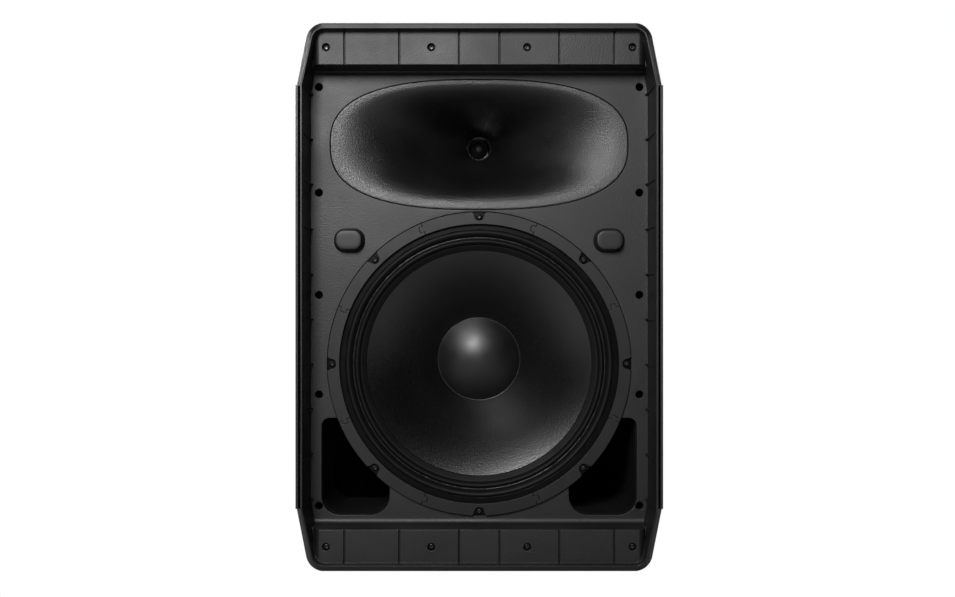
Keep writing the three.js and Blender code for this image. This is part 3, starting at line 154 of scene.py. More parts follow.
FRAME_HOLE_R = FRAME_R - 14.9
GASKET_INNER_R = FRAME_R - 11.9
BOLT_R = FRAME_R - 4.3
BOLT_ANGLES = [math.radians(45 * i) for i in range(8)]
BEAD_R = 125.5
CAP_RISE = 15
PORT_SIDE = 156.8
PORT_INNER = 89.4
PORT_BOTTOM = 46
PORT_TOP = 142.4
PORT_R = 18.5
PORT_TOP_R = 8
PORT_UNDERCUT = 1.4

POCKET_LENGTH = 150
POCKET_WIDTH = 62
POCKET_FLOOR = HEIGHT - 40
POLE_HOLE_R = 21.9
FOOT_RECESS_R = 14.4
FOOT_RECESS = 2.2


# ---------- outlines ----------

def rounded(corners, step=6):
    """Points of a closed outline whose corners (u, v, radius) are rounded by arcs."""
    points = []
    for i, (u, v, r) in enumerate(corners):
        here = Vector((u, v))
        if not r:
            points.append(here)
            continue
        into = (here - Vector(corners[i - 1][:2])).normalized()
        out = (Vector(corners[(i + 1) % len(corners)][:2]) - here).normalized()
        turn = math.atan2(into.x * out.y - into.y * out.x, into.dot(out))
        start = here - into * r * abs(math.tan(turn / 2))
        side = math.copysign(1, turn)
        centre = start + Vector((-into.y, into.x)) * side * r
        steps = max(2, math.ceil(abs(math.degrees(turn)) / step))
        spoke = start - centre
        for k in range(steps + 1):
            points.append(centre + Matrix.Rotation(turn * k / steps, 2) @ spoke)
    return points


def inset(corners, distance):
    """The corners of a counter-clockwise outline moved inwards."""
    moved = []
    for i, (u, v, r) in enumerate(corners):
        here = Vector((u, v))
        a = (here - Vector(corners[i - 1][:2])).normalized()
        b = (Vector(corners[(i + 1) % len(corners)][:2]) - here).normalized()
        shift = Vector((-a.y - b.y, a.x + b.x)) * distance / (1 + a.dot(b))
        moved.append((u + shift.x, v + shift.y, max(r - distance, 1) if r else 0))
    return moved


def rectangle(width, height, r=0, u=0, v=0):
    return [(u - width / 2, v - height / 2, r), (u + width / 2, v - height / 2, r),
            (u + width / 2, v + height / 2, r), (u - width / 2, v + height / 2, r)]


def circle(r, u=0, v=0, count=48):
    angles = [math.tau * i / count for i in range(count)]
    return [Vector((u + r * math.cos(a), v + r * math.sin(a))) for a in angles]


# ---------- solids: lists of corners and faces ----------

def loft(rings, closed=False):
    """Skin through rings of equal length. A closed loft joins its last ring to its first."""
    count = len(rings[0])
    corners = [tuple(p) for ring in rings for p in ring]
    faces = []
    for i in range(len(rings) if closed else len(rings) - 1):
        a, b = i * count, (i + 1) % len(rings) * count
        for k in range(count):
            n = (k + 1) % count
            faces.append((a + k, a + n, b + n, b + k))
    if not closed:
        faces.append(tuple(range(count)))
        faces.append(tuple((len(rings) - 1) * count + k for k in range(count)))
    return corners, faces


def along_y(points, a, b):
    return loft([[(u, y, v) for u, v in points] for y in (a, b)])


def along_z(points, a, b):
    return loft([[(u, v, z) for u, v in points] for z in (a, b)])


def along_x(points, a, b):
    return loft([[(x, u, v) for u, v in points] for x in (a, b)])


def block(x0, x1, y0, y1, z0, z1):
    return along_z([(x0, y0), (x1, y0), (x1, y1), (x0, y1)], z0, z1)


def turned_y(profile, x=0, z=0, count=96):
    """A solid of revolution about the Y direction: the profile's pairs are (radius, y)."""
    rings = []
    for i in range(count):
        c, s = math.cos(math.tau * i / count), math.sin(math.tau * i / count)
        rings.append([(x + r * c, y, z + r * s) for r, y in profile])
    return loft(rings, closed=True)


def rod_y(r, a, b, x=0, z=0, count=40):
    return along_y(circle(r, x, z, count), a, b)


def together(*solids):
    corners, faces = [], []
    for more_corners, more_faces in solids:
        shift = len(corners)
        corners += more_corners
        faces += [tuple(i + shift for i in f) for f in more_faces]
    return corners, faces


def mirrored(solid):
    return [(-x, y, z) for x, y, z in solid[0]], [tuple(reversed(f)) for f in solid[1]]


# ---------- meshes ----------

def mesh_of(name, solid):
    corners, faces = solid
    mesh = bpy.data.meshes.new(name)
    mesh.from_pydata([(x * MM, y * MM, (z + UNDERSIDE) * MM) for x, y, z in corners], [], faces)
    work = bmesh.new()
    work.from_mesh(mesh)
    bmesh.ops.remove_doubles(work, verts=work.verts, dist=0.004 * MM)
    bmesh.ops.recalc_face_normals(work, faces=work.faces)
    work.to_mesh(mesh)
    work.free()
    return mesh


def temporary(solid):
    thing = bpy.data.objects.new("tool", mesh_of("tool", solid))
    bpy.context.scene.collection.objects.link(thing)
    return thing


def combined(base, steps):
    """A mesh made from a base solid by steps of ("DIFFERENCE", "UNION" or "INTERSECT", solid)."""
    thing = temporary(base)
    tools = []
    for operation, solid in steps:
        tool = temporary(solid)
        tools.append(tool)
        cut = thing.modifiers.new("cut", "BOOLEAN")
        cut.operation = operation
        cut.object = tool
        cut.solver = "MANIFOLD"
    bpy.context.view_layer.update()
    mesh = bpy.data.meshes.new_from_object(thing.evaluated_get(bpy.context.evaluated_depsgraph_get()))
    for spare in [thing, *tools]:
        bpy.data.objects.remove(spare)
    work = bmesh.new()
    work.from_mesh(mesh)
    bmesh.ops.remove_doubles(work, verts=work.verts, dist=0.004 * MM)
    bmesh.ops.dissolve_limit(work, angle_limit=math.radians(0.4), verts=work.verts, edges=work.edges)
    bmesh.ops.triangulate(work, faces=[face for face in work.faces if len(face.verts) > 4])
    work.to_mesh(mesh)
    work.free()
    return mesh


def shade(mesh, sharp):
    """Smooth shading with hard edges where faces meet at more than the sharp angle."""
    work = bmesh.new()
    work.from_mesh(mesh)
    for face in work.faces:
        face.smooth = True
    for edge in work.edges:
        edge.smooth = len(edge.link_faces) == 2 and edge.calc_face_angle(0) < math.radians(sharp)
    work.to_mesh(mesh)
    work.free()


def piece(name, solid, material, body="cabinet", bevel=0, steps=2, sharp=35, replaces=()):
    """A visible piece that rides on a body. The solid is corners and faces, or a finished mesh."""
    mesh = solid if isinstance(solid, bpy.types.Mesh) else mesh_of(name, solid)
    mesh.name = name
    mesh.materials.clear()
    mesh.materials.append(material)
    shade(mesh, sharp)
    thing = bpy.data.objects.new(name, mesh)
    bpy.context.scene.collection.objects.link(thing)
    if bevel:
        round_over = thing.modifiers.new("round_over", "BEVEL")
        round_over.width = bevel * MM
        round_over.segments = steps
        round_over.limit_method = "ANGLE"
        round_over.angle_limit = math.radians(sharp)
        round_over.use_clamp_overlap = False
        round_over.miter_outer = "MITER_ARC"
        round_over.loop_slide = False
        weigh = thing.modifiers.new("weigh", "WEIGHTED_NORMAL")
        weigh.keep_sharp = False
    if body:
        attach(thing, body)
    if replaces:
        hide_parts(*replaces)
    return thing


# ---------- materials ----------

def shader(name, color, roughness, metallic=0.0, specular=0.5, coat=0.0):
    """A Principled material with its constant values on the shader's own sockets."""
    material = bpy.data.materials.new(name)
    material.use_nodes = True
    nodes = material.node_tree.nodes
    principled = nodes["Principled BSDF"]
    principled.inputs["Base Color"].default_value = (*color, 1)
    principled.inputs["Roughness"].default_value = roughness
    principled.inputs["Metallic"].default_value = metallic
    principled.inputs["Specular IOR Level"].default_value = specular
    principled.inputs["Coat Weight"].default_value = coat
    return material, nodes, material.node_tree.links, principled


def mottle(nodes, links, principled, color, spread, scale):
    """Tone that drifts a little over the surface."""
    place = nodes.new("ShaderNodeTexCoord")
    drift = nodes.new("ShaderNodeTexNoise")
    drift.inputs["Scale"].default_value = scale
    drift.inputs["Detail"].default_value = 6
    drift.inputs["Roughness"].default_value = 0.6
    tones = nodes.new("ShaderNodeValToRGB")
    tones.color_ramp.elements[0].position = 0.3
    tones.color_ramp.elements[1].position = 0.7
    tones.color_ramp.elements[0].color = (*[c * (1 - spread) for c in color], 1)
    tones.color_ramp.elements[1].color = (*[c * (1 + spread) for c in color], 1)
    links.new(place.outputs["Object"], drift.inputs["Vector"])
    links.new(drift.outputs["Fac"], tones.inputs["Fac"])
    links.new(tones.outputs["Color"], principled.inputs["Base Color"])
    return place, drift


def vary_roughness(nodes, links, principled, source, low, high):
    span = nodes.new("ShaderNodeMapRange")
    span.inputs["From Min"].default_value = 0.3
    span.inputs["From Max"].default_value = 0.7
    span.inputs["To Min"].default_value = low
    span.inputs["To Max"].default_value = high
    links.new(source, span.inputs["Value"])
    links.new(span.outputs["Result"], principled.inputs["Roughness"])


def pebbled(name, color, roughness, grain, depth, specular=0.5, spread=0.12, scale=14, swing=0.06):
    """Moulded plastic: a grain of pebbles of the given size, finer noise over it, and drifting tone."""
    material, nodes, links, principled = shader(name, color, roughness, specular=specular)
    place, drift = mottle(nodes, links, principled, color, spread, scale)
    cells = nodes.new("ShaderNodeTexVoronoi")
    cells.feature = "SMOOTH_F1"
    cells.inputs["Scale"].default_value = 1 / (grain * MM)
    cells.inputs["Smoothness"].default_value = 0.6
    fine = nodes.new("ShaderNodeTexNoise")
    fine.inputs["Scale"].default_value = 2.2 / (grain * MM)
    fine.inputs["Detail"].default_value = 3
    height = nodes.new("ShaderNodeMix")
    height.inputs["Factor"].default_value = 0.35
    bump = nodes.new("ShaderNodeBump")
    bump.inputs["Strength"].default_value = 1
    bump.inputs["Distance"].default_value = depth * MM
    links.new(place.outputs["Object"], cells.inputs["Vector"])
    links.new(place.outputs["Object"], fine.inputs["Vector"])
    links.new(cells.outputs["Distance"], height.inputs["A"])
    links.new(fine.outputs["Fac"], height.inputs["B"])
    links.new(height.outputs["Result"], bump.inputs["Height"])
    links.new(bump.outputs["Normal"], principled.inputs["Normal"])
    vary_roughness(nodes, links, principled, drift.outputs["Fac"], roughness - swing, roughness + swing)
    return material


def smooth_surface(name, color, roughness, metallic=0.0, specular=0.5, fine=900, depth=0.01, coat=0.0):
    """Paint, metal or smooth plastic: faint unevenness and drifting roughness."""
    material, nodes, links, principled = shader(name, color, roughness, metallic, specular, coat)
    place, drift = mottle(nodes, links, principled, color, 0.1, 40)
    grain = nodes.new("ShaderNodeTexNoise")
    grain.inputs["Scale"].default_value = fine
    grain.inputs["Detail"].default_value = 4
    bump = nodes.new("ShaderNodeBump")
    bump.inputs["Strength"].default_value = 1
    bump.inputs["Distance"].default_value = depth * MM
    links.new(place.outputs["Object"], grain.inputs["Vector"])
    links.new(grain.outputs["Fac"], bump.inputs["Height"])
    links.new(bump.outputs["Normal"], principled.inputs["Normal"])
    vary_roughness(nodes, links, principled, drift.outputs["Fac"], roughness - 0.06, roughness + 0.06)
    return material


def gray(value):
    return (value, value, value)


SHELL = pebbled("shell_plastic", gray(0.002), 0.53, grain=1.2, depth=0.2)
HORN = pebbled("horn_plastic", gray(0.0012), 0.39, grain=0.95, depth=0.38, specular=0.6)
RUBBER = pebbled("rubber", gray(0.004), 0.52, grain=0.5, depth=0.03, specular=0.4)
GASKET = smooth_surface("gasket", gray(0.003), 0.55, specular=0.4, fine=1400, depth=0.03)
PAPER = pebbled("cone_paper", gray(0.0008), 0.33, grain=1.3, depth=0.2, specular=0.7, spread=0.15,
                scale=300, swing=0.03)
CAP = smooth_surface("cap_paper", gray(0.0008), 0.42, specular=0.5, fine=700, depth=0.012)
CLOTH = smooth_surface("coated_cloth", gray(0.002), 0.58, specular=0.15, fine=1500, depth=0.05)
# Painted shade: a copy of the painted metal, made much darker, for the woofer basket, so the gasket's screw
# notches, where its flange shows, read as shaded.
NOTCH_SHADE_BASKET = smooth_surface("basket_paint_shaded", gray(0.0008), 0.35, specular=0.12, fine=1600, depth=0.02)
SPIDER = smooth_surface("spider_cloth", (0.16, 0.1, 0.05), 0.85, fine=1500, depth=0.12)
GLUE = smooth_surface("glue_bead", gray(0.01), 0.34, fine=500, depth=0.06)
PAINT = smooth_surface("painted_metal", gray(0.004), 0.4, specular=0.5, fine=1600, depth=0.02)
SCREW = smooth_surface("screw_steel", gray(0.025), 0.32, metallic=0.6, fine=1200, depth=0.01)
STEEL = smooth_surface("plated_steel", (0.42, 0.43, 0.44), 0.3, metallic=1.0)
FERRITE = smooth_surface("ferrite", gray(0.035), 0.6, fine=500, depth=0.05)
ALUMINIUM = smooth_surface("aluminium", (0.5, 0.51, 0.52), 0.36, metallic=1.0, fine=1500, depth=0.02)
DARK_METAL = smooth_surface("black_anodised", gray(0.02), 0.4, metallic=0.4, fine=1600, depth=0.02)
BOARD = smooth_surface("board", (0.01, 0.07, 0.03), 0.5)
LENS = smooth_surface("lens", (0.05, 0.35, 0.1), 0.15, coat=0.5)
FOAM = pebbled("foam", gray(0.03), 0.95, grain=1.6, depth=0.6, specular=0.2)
LEAD = smooth_surface("lead_jacket", gray(0.015), 0.5)
FITTING = pebbled("fitting_plastic", gray(0.003), 0.45, grain=0.5, depth=0.03)
MARK = smooth_surface("print_white", gray(0.5), 0.6, depth=0.005)


# ---------- cabinet ----------

front_outline = [
    (-WIDTH / 2 + CORNER_INSET, 0, CORNER_R), (WIDTH / 2 - CORNER_INSET, 0, CORNER_R),
    (WIDTH / 2, CORNER_RISE, 0), (WIDTH / 2, HEIGHT - CORNER_RISE, 0),
    (WIDTH / 2 - CORNER_INSET, HEIGHT, CORNER_R), (-WIDTH / 2 + CORNER_INSET, HEIGHT, CORNER_R),
    (-WIDTH / 2, HEIGHT - CORNER_RISE, 0), (-WIDTH / 2, CORNER_RISE, 0),
]
plan_outline = [
    (-WIDTH / 2, FRONT, 0), (WIDTH / 2, FRONT, 0), (WIDTH / 2, TAPER_START, 30),
    (REAR_WIDTH / 2, BACK, REAR_CORNER_R), (-REAR_WIDTH / 2, BACK, REAR_CORNER_R),
    (-WIDTH / 2, TAPER_START, 30),
]
side_outline = [
    (FRONT + RIM_SETBACK, 0, 0), (BACK - REAR_CHAMFER_RUN, 0, 30), (BACK, REAR_BOTTOM_RISE, 6),
    (BACK, HEIGHT - REAR_TOP_DROP, 8), (BACK - REAR_CHAMFER_RUN, HEIGHT, 30),
    (FRONT + RIM_SETBACK, HEIGHT, 0), (FRONT, HEIGHT - CORNER_RISE, 0), (FRONT, CORNER_RISE, 0),
]


def form_steps(inwards, a, b):
    """The cabinet's form between two depths: the base solid and the steps that shape it."""
    front = along_y(rounded(inset(front_outline, inwards), 5), a, b)
    plan = along_z(rounded(inset(plan_outline, inwards), 5), -FAR, FAR)
    side = along_x(rounded(inset(side_outline, inwards), 5), -FAR, FAR)
    return front, [("INTERSECT", plan), ("INTERSECT", side)]


def solid_of(mesh):
    """Corners and faces of a finished mesh, in millimetres."""
    corners = [(v.co.x / MM, v.co.y / MM, v.co.z / MM - UNDERSIDE) for v in mesh.vertices]
    return corners, [tuple(p.vertices) for p in mesh.polygons]


def form(inwards, a, b):
    base, steps = form_steps(inwards, a, b)
    return solid_of(combined(base, steps))


def front_at(z):
    """Depth of the rails' and rims' front edge at a height."""
    from_end = min(z, HEIGHT - z)
    return FRONT + RIM_SETBACK * max(0, 1 - from_end / CORNER_RISE)


def recess_outline():
    reach = WIDTH / 2 - RAIL
    narrow = reach - CORNER_INSET
    r = CORNER_R - RIM
    return [(-narrow, RIM, r), (narrow, RIM, r), (reach, CORNER_RISE, 0), (reach, HEIGHT - CORNER_RISE, 0),
            (narrow, HEIGHT - RIM, r), (-narrow, HEIGHT - RIM, r), (-reach, HEIGHT - CORNER_RISE, 0),
            (-reach, CORNER_RISE, 0)]


def front_recess():
    """The space in front of the baffle and the shelves."""
    shaft = along_y(rounded(recess_outline(), 5), FRONT - 5, BAFFLE)
    past = 5
    leant = SHELF + SHELF_TILT * (SHELF_HEIGHT + past) / SHELF_HEIGHT
    depth = [
        (FRONT - 6, -past, 0), (leant, -past, 0), (SHELF, SHELF_HEIGHT, 0), (BAFFLE, SHELF_HEIGHT, COVE),
        (BAFFLE, HEIGHT - SHELF_HEIGHT, 1.5), (SHELF, HEIGHT - SHELF_HEIGHT, 0), (leant, HEIGHT + past, 0),
        (FRONT - 6, HEIGHT + past, 0),
    ]
    room = along_x(rounded(depth, 10), -FAR, FAR)
    return solid_of(combined(shaft, [("INTERSECT", room)]))


def shelf_end(side, top):
    """What rolls away from the shelf's end towards the side wall."""
    rings = []
    for z, back in ((RIM - 2, SHELF + SHELF_TILT), (SHELF_HEIGHT + 3, SHELF)):
        start = Vector((SHELF_END, back))
        arc = [(start.x + SHELF_END_ROLL * math.sin(t), start.y + 9 * (1 - math.cos(t)))
               for t in [math.radians(90) * k / 8 for k in range(9)]]
        far = WIDTH / 2 - RAIL - 4
        outline = [(SHELF_END, FRONT - 5), *arc, (far, arc[-1][1]), (far, FRONT - 5)]
        height = HEIGHT - z if top else z
        rings.append([(side * x, y, height) for x, y in outline])
    shaft = along_y(rounded(recess_outline(), 5), FRONT - 4, BAFFLE)
    return solid_of(combined(loft(rings), [("INTERSECT", shaft)]))


def rim_chamfer(top):
    """A cutter that slopes the rim outwards, along the rim and the slanted ends of the rails."""
    outline = rounded(front_outline, 5)
    inner = rounded(inset(front_outline, RIM_CHAMFER), 5)
    pairs = [(o, i) for o, i in zip(outline, inner) if (o.y > HEIGHT / 2) == top]
    if top:
        pairs = sorted(pairs, key=lambda pair: -math.atan2(pair[0].x, pair[0].y - HEIGHT / 2))
    else:
        pairs = sorted(pairs, key=lambda pair: math.atan2(pair[0].x, HEIGHT / 2 - pair[0].y))
    rings = []
    for o, i in pairs:
        away = (o - i).normalized()
        far = o + away * 6
        y = front_at(i.y if 0 < i.y < HEIGHT else o.y)
        slope = RIM_SLOPE_UP * abs(away.y) + RIM_SLOPE_SIDE * abs(away.x)
        rings.append([(i.x, y, i.y), (far.x, y + slope * (far - i).length, far.y), (far.x, y - 30, far.y),
                      (i.x, y - 30, i.y)])
    return loft(rings)


def horn_points(half_width, half_height, squareness, z, count=96):
    points = []
    for k in range(count):
        across, up = math.cos(math.tau * k / count), math.sin(math.tau * k / count)
        power = 2 / squareness
        points.append((half_width * math.copysign(abs(across) ** power, across),
                       z + half_height * math.copysign(abs(up) ** power, up)))
    return points


def port_corners():
    return [(PORT_INNER, PORT_BOTTOM, PORT_R), (PORT_SIDE, PORT_BOTTOM, PORT_R),
            (PORT_SIDE, PORT_TOP, PORT_TOP_R), (PORT_INNER, PORT_TOP, 0)]


def port_opening(inwards, a, b):
    opening = along_y(rounded(inset(port_corners(), inwards), 5), a, b)
    frame_edge = rod_y(FRAME_R - PORT_UNDERCUT + inwards, a - 1, b + 1, 0, WOOFER_Z, 180)
    return solid_of(combined(opening, [("DIFFERENCE", frame_edge)]))


def screw_bore(x, z, y):
    """The cutter of a shelf screw's counterbore."""
    front, floor = FRONT - 4, y + 5
    return turned_y([(0, front), (SHELF_SCREW_R, front), (SHELF_SCREW_R, floor), (0, floor)], x, z, 32)


def shelf_face(z):
    from_end = min(z, HEIGHT - z)
    return SHELF + SHELF_TILT * (1 - from_end / SHELF_HEIGHT)


def build_front_shell():
    base, steps = form_steps(0, FRONT, PARTING)
    back = BAFFLE + BAFFLE_THICKNESS
    steps.append(("DIFFERENCE", front_recess()))
    for top in (False, True):
        steps.append(("DIFFERENCE", rim_chamfer(top)))
        for side in (-1, 1):
            steps.append(("DIFFERENCE", shelf_end(side, top)))
    hollow = form(WALL, FRONT, BACK)
    behind = solid_of(combined(hollow, [("INTERSECT", block(-FAR, FAR, back, FAR, -FAR, FAR))]))
    steps.append(("DIFFERENCE", behind))
    outer = WIDTH / 2 - GROOVE_LIP
    for side in (-1, 1):
        edges = sorted((side * (outer - GROOVE), side * outer))
        slot = block(*edges, FRONT - 1, FRONT + GROOVE_DEPTH, CORNER_RISE, HEIGHT - CORNER_RISE)
        steps.append(("DIFFERENCE", slot))
        for z in WELL_HEIGHTS:
            steps.append(("DIFFERENCE", rod_y(WELL_R, FRONT - 1, back + 1, side * WELL_X, z, 32)))
        bumper = node_middle("grille_bumper_right")
        steps.append(("DIFFERENCE", rod_y(3.3, FRONT, back + 1, side * bumper.x, bumper.z, 16)))
    mouth = horn_points(HORN_HALF_WIDTH + SEAT_GAP, HORN_HALF_HEIGHT + SEAT_GAP, HORN_SQUARENESS, HORN_Z, 128)
    steps.append(("DIFFERENCE", along_y(mouth, FRONT, back + 1)))
    steps.append(("DIFFERENCE", rod_y(FRAME_R + FRAME_GAP, FRONT, back - 0.4, 0, WOOFER_Z, 180)))
    steps.append(("DIFFERENCE", rod_y(FRAME_HOLE_R, FRONT, back + 1, 0, WOOFER_Z, 120)))
    port = port_opening(0, BAFFLE - 1, back + 1)
    steps += [("DIFFERENCE", port), ("DIFFERENCE", mirrored(port))]
    for z in SHELF_SCREW_ZS:
        for x in SHELF_SCREW_XS:
            steps.append(("DIFFERENCE", screw_bore(x, z, shelf_face(z))))
        ends = (RIM, SHELF_HEIGHT + 1) if z < HEIGHT / 2 else (HEIGHT - SHELF_HEIGHT - 1, HEIGHT - RIM)
        for x in [side * place for place in SHELF_GROOVE_XS for side in (-1, 1)]:
            outline = [(SHELF - 4, ends[0]), (shelf_face(ends[0]) + GROOVE_CUT, ends[0]),
                       (shelf_face(ends[1]) + GROOVE_CUT, ends[1]), (SHELF - 4, ends[1])]
            steps.append(("DIFFERENCE", along_x(outline, x - 0.7, x + 0.7)))
    return combined(base, steps)


def side_rib(side, z):
    """A thin rib on the recess's side wall, deeper towards the baffle."""
    wall = WIDTH / 2 - RAIL
    outline = [(wall + 0.5, FRONT + 7), (wall + 0.5, BAFFLE + 0.5), (wall - 3, BAFFLE + 0.5),
               (wall - 2.2, BAFFLE - 4), (wall - 1.2, BAFFLE - 9), (wall - 1, FRONT + 9)]
    return along_z([(side * x, y) for x, y in outline], z - 0.6, z + 0.6)


piece("cabinet_front", build_front_shell(), SHELL, bevel=0.55, replaces=["front_shell"])
ribs = together(*[side_rib(side, SIDE_RIB_TOP - SIDE_RIB_PITCH * k)
                  for side in (-1, 1) for k in range(SIDE_RIB_COUNT)])
piece("cabinet_side_ribs", ribs, SHELL, bevel=0.25)


# ---------- rear shell ----------

panel_low, panel_high = node_box("amp_panel")
grip_low, grip_high = node_box("handle_grip")
pole_low, pole_high = node_box("pole_socket")
PANEL_FACE = panel_high.y
PANEL_Z = (panel_low.z + panel_high.z) / 2
PANEL_WIDTH = panel_high.x - panel_low.x
PANEL_HEIGHT = panel_high.z - panel_low.z
GRIP_Y = (grip_low.y + grip_high.y) / 2
POLE_Y = (pole_low.y + pole_high.y) / 2
POLE_FLANGE_R = (pole_high.x - pole_low.x) / 2


def panel_block(grow, a, b):
    outline = rectangle(PANEL_WIDTH + 2 * grow, PANEL_HEIGHT + 2 * grow, 8 + max(0, grow), 0, PANEL_Z)
    return along_y(rounded(outline), a, b)


def pocket(grow, low, high):
    outline = rectangle(POCKET_LENGTH + 2 * grow, POCKET_WIDTH + 2 * grow, 12 + grow, 0, GRIP_Y)
    return along_z(rounded(outline), low, high)


def feet_places():
    return [node_middle(f"foot_{end}_{side}") for end in ("front", "rear") for side in ("left", "right")]


def foot_recess(place):
    return along_z(circle(FOOT_RECESS_R, place.x, place.y), -1, FOOT_RECESS)


def build_rear_shell():
    base, steps = form_steps(0, PARTING + 0.3, BACK)
    steps.append(("DIFFERENCE", form(WALL, FRONT, BACK - WALL)))
    ledge = panel_low.y - 0.3
    steps.append(("UNION", panel_block(WALL, ledge - WALL, BACK - 1)))
    steps.append(("UNION", pocket(WALL, POCKET_FLOOR - WALL, HEIGHT - 1)))
    steps.append(("UNION", along_z(circle(POLE_FLANGE_R + WALL, 0, POLE_Y), 1, 7)))
    steps.append(("DIFFERENCE", panel_block(0.3, ledge, BACK + 1)))
    steps.append(("DIFFERENCE", panel_block(-9, ledge - WALL - 1, BACK + 1)))
    steps.append(("DIFFERENCE", pocket(0, POCKET_FLOOR, HEIGHT + 1)))
    steps.append(("DIFFERENCE", along_z(circle(POLE_FLANGE_R + 0.3, 0, POLE_Y), -1, 3.3)))
    steps.append(("DIFFERENCE", along_z(circle(POLE_HOLE_R, 0, POLE_Y), -1, 60)))
    for place in feet_places():
        if place.y > 0:
            steps.append(("DIFFERENCE", foot_recess(place)))
    return combined(base, steps)


piece("cabinet_rear", build_rear_shell(), SHELL, bevel=0.8, steps=3,
      replaces=["rear_shell"])


# ---------- horn ----------

def horn_ring(share, wall, y, count):
    half_width = HORN_THROAT_R + (HORN_HALF_WIDTH - HORN_LIP - HORN_THROAT_R) * share + wall
    half_height = HORN_THROAT_R + (HORN_HALF_HEIGHT - HORN_LIP - HORN_THROAT_R) * share + wall
    squareness = 2 + (HORN_SQUARENESS - 2) * min(1, share * 2)
    z = THROAT_Z + (HORN_Z - THROAT_Z) * share
    return [(x, y, v) for x, v in horn_points(half_width, half_height, squareness, z, count)]


def horn_lip(grow, y, count):
    points = horn_points(HORN_HALF_WIDTH + grow, HORN_HALF_HEIGHT + grow, HORN_SQUARENESS, HORN_Z, count)
    return [(x, y, v) for x, v in points]


def build_horn(count=160, steps=40):
    mouth = BAFFLE + 0.25
    rings = []
    for k in range(steps + 1):
        share = k / steps
        rings.append(horn_ring(share, 0, mouth + (THROAT - mouth) * (1 - share) ** HORN_FLARE, count))
    rings.append(horn_lip(-2, BAFFLE + 0.12, count))
    rings.append(horn_lip(-0.7, BAFFLE + 0.05, count))
    rings.append(horn_lip(-0.2, BAFFLE + 0.25, count))
    rings.append(horn_lip(0, BAFFLE + 0.7, count))
    rings.append(horn_lip(0, BAFFLE + 8, count))
    for share in (0.7, 0.48, 0.3, 0.16, 0.06, 0):
        y = mouth + (THROAT - mouth) * (1 - share) ** HORN_FLARE + HORN_WALL * share
        rings.append(horn_ring(share, HORN_WALL, y, count))
    return loft(rings, closed=True)


piece("horn_flare", build_horn(), HORN, sharp=50, replaces=["horn_waveguide"])


# ---------- woofer ----------

def gasket_segment(index):
    """One eighth of the gasket ring, with a screw notch in its middle and jigsaw ends."""
    gap = 0.18
    half = math.radians(22.5)
    middle = math.radians(45 * index)
    jigsaw = [(0, 0), (3.6, 0), (3.3, 1.2), (2.8, 2.3), (3.5, 3.7), (5.9, 4.3), (8.3, 3.7), (9, 2.3),
              (8.5, 1.2), (8.2, 0), (FRAME_R - GASKET_INNER_R, 0)]
    notch = [(6.55, 0), (5.3, 2.6), (4.2, 6.2), (3.2, 7.6), (1.4, 8.3)]
    notch += [(-s, d) for s, d in reversed(notch)]

    def at(r, sideways, angle):
        along = Vector((math.cos(angle), math.sin(angle)))
        across = Vector((-along.y, along.x))
        return along * r + across * sideways

    points = [at(GASKET_INNER_R + d, s + gap, middle - half) for d, s in jigsaw]
    notch_half = math.asin(notch[0][0] / FRAME_R)
    for k in range(1, 13):
        points.append(at(FRAME_R, 0, middle - half + (half - notch_half) * k / 12))
    points += [at(FRAME_R - d, -s, middle) for s, d in notch[1:-1]]
    for k in range(12):
        points.append(at(FRAME_R, 0, middle + notch_half + (half - notch_half) * k / 12))
    points += [at(GASKET_INNER_R + d, s - gap, middle + half) for d, s in reversed(jigsaw)]
    for k in range(1, 24):
        points.append(at(GASKET_INNER_R, 0, middle + half - 2 * half * k / 24))
    return along_y([(p.x, p.y + WOOFER_Z) for p in points], GASKET_FACE, GASKET_BACK)


piece("gasket_segments", together(*[gasket_segment(i) for i in range(8)]), GASKET, bevel=0.4,
      steps=2, sharp=50, replaces=["woofer_gasket"])


def cone_depth(r):
    """The cone's depth at a radius: steep at the neck and flatter towards the edge."""
    share = (r - CAP_R) / (CONE_R - CAP_R)
    return CAP_SEAT + (CONE_EDGE - CAP_SEAT) * (1.35 - 0.35 * share) * share


def build_cone():
    radii = [CONE_R - (CONE_R - CAP_R + 1.4) * k / 40 for k in range(41)]
    front = [(r, cone_depth(r)) for r in radii]
    back = [(r, y + 1.1) for r, y in reversed(front)]
    return turned_y(front + back, 0, WOOFER_Z, 160)


piece("woofer_cone_paper", build_cone(), PAPER, body="cone_assembly", sharp=60,
      replaces=["woofer_cone"])


def build_cap():
    rim = cone_depth(CAP_R) - 0.4
    sphere_r = (CAP_R ** 2 + CAP_RISE ** 2) / (2 * CAP_RISE)
    front = []
    for k in range(25):
        r = (CAP_R - 1.2) * k / 24
        front.append((r, rim - CAP_RISE + sphere_r - math.sqrt(sphere_r ** 2 - r ** 2)))
    front.append((CAP_R - 0.3, rim - 0.5))
    front.append((CAP_R, rim + 0.4))
    back = [(r, y + 0.8) for r, y in reversed(front[:-2])]
    return turned_y(front + back, 0, WOOFER_Z, 128)


def ring_bead(r, y, thickness, count=160, wobble=0.0):
    """A thin round bead along a circle, a little uneven."""
    rings = []
    for k in range(count):
        angle = math.tau * k / count
        t = thickness * (1 + wobble * (random.random() - 0.5))
        c, s = math.cos(angle), math.sin(angle)
        rings.append([((r + t * math.cos(a)) * c, y + t * math.sin(a), WOOFER_Z + (r + t * math.cos(a)) * s)
                      for a in [math.tau * j / 8 for j in range(8)]])
    return loft(rings, closed=True)


piece("dust_cap_dome", build_cap(), CAP, body="cone_assembly", sharp=70,
      replaces=["woofer_dust_cap"])
piece("dust_cap_glue", ring_bead(CAP_R + 0.3, cone_depth(CAP_R) - 0.2, 0.65, wobble=0.25), GLUE,
      body="cone_assembly", sharp=80)


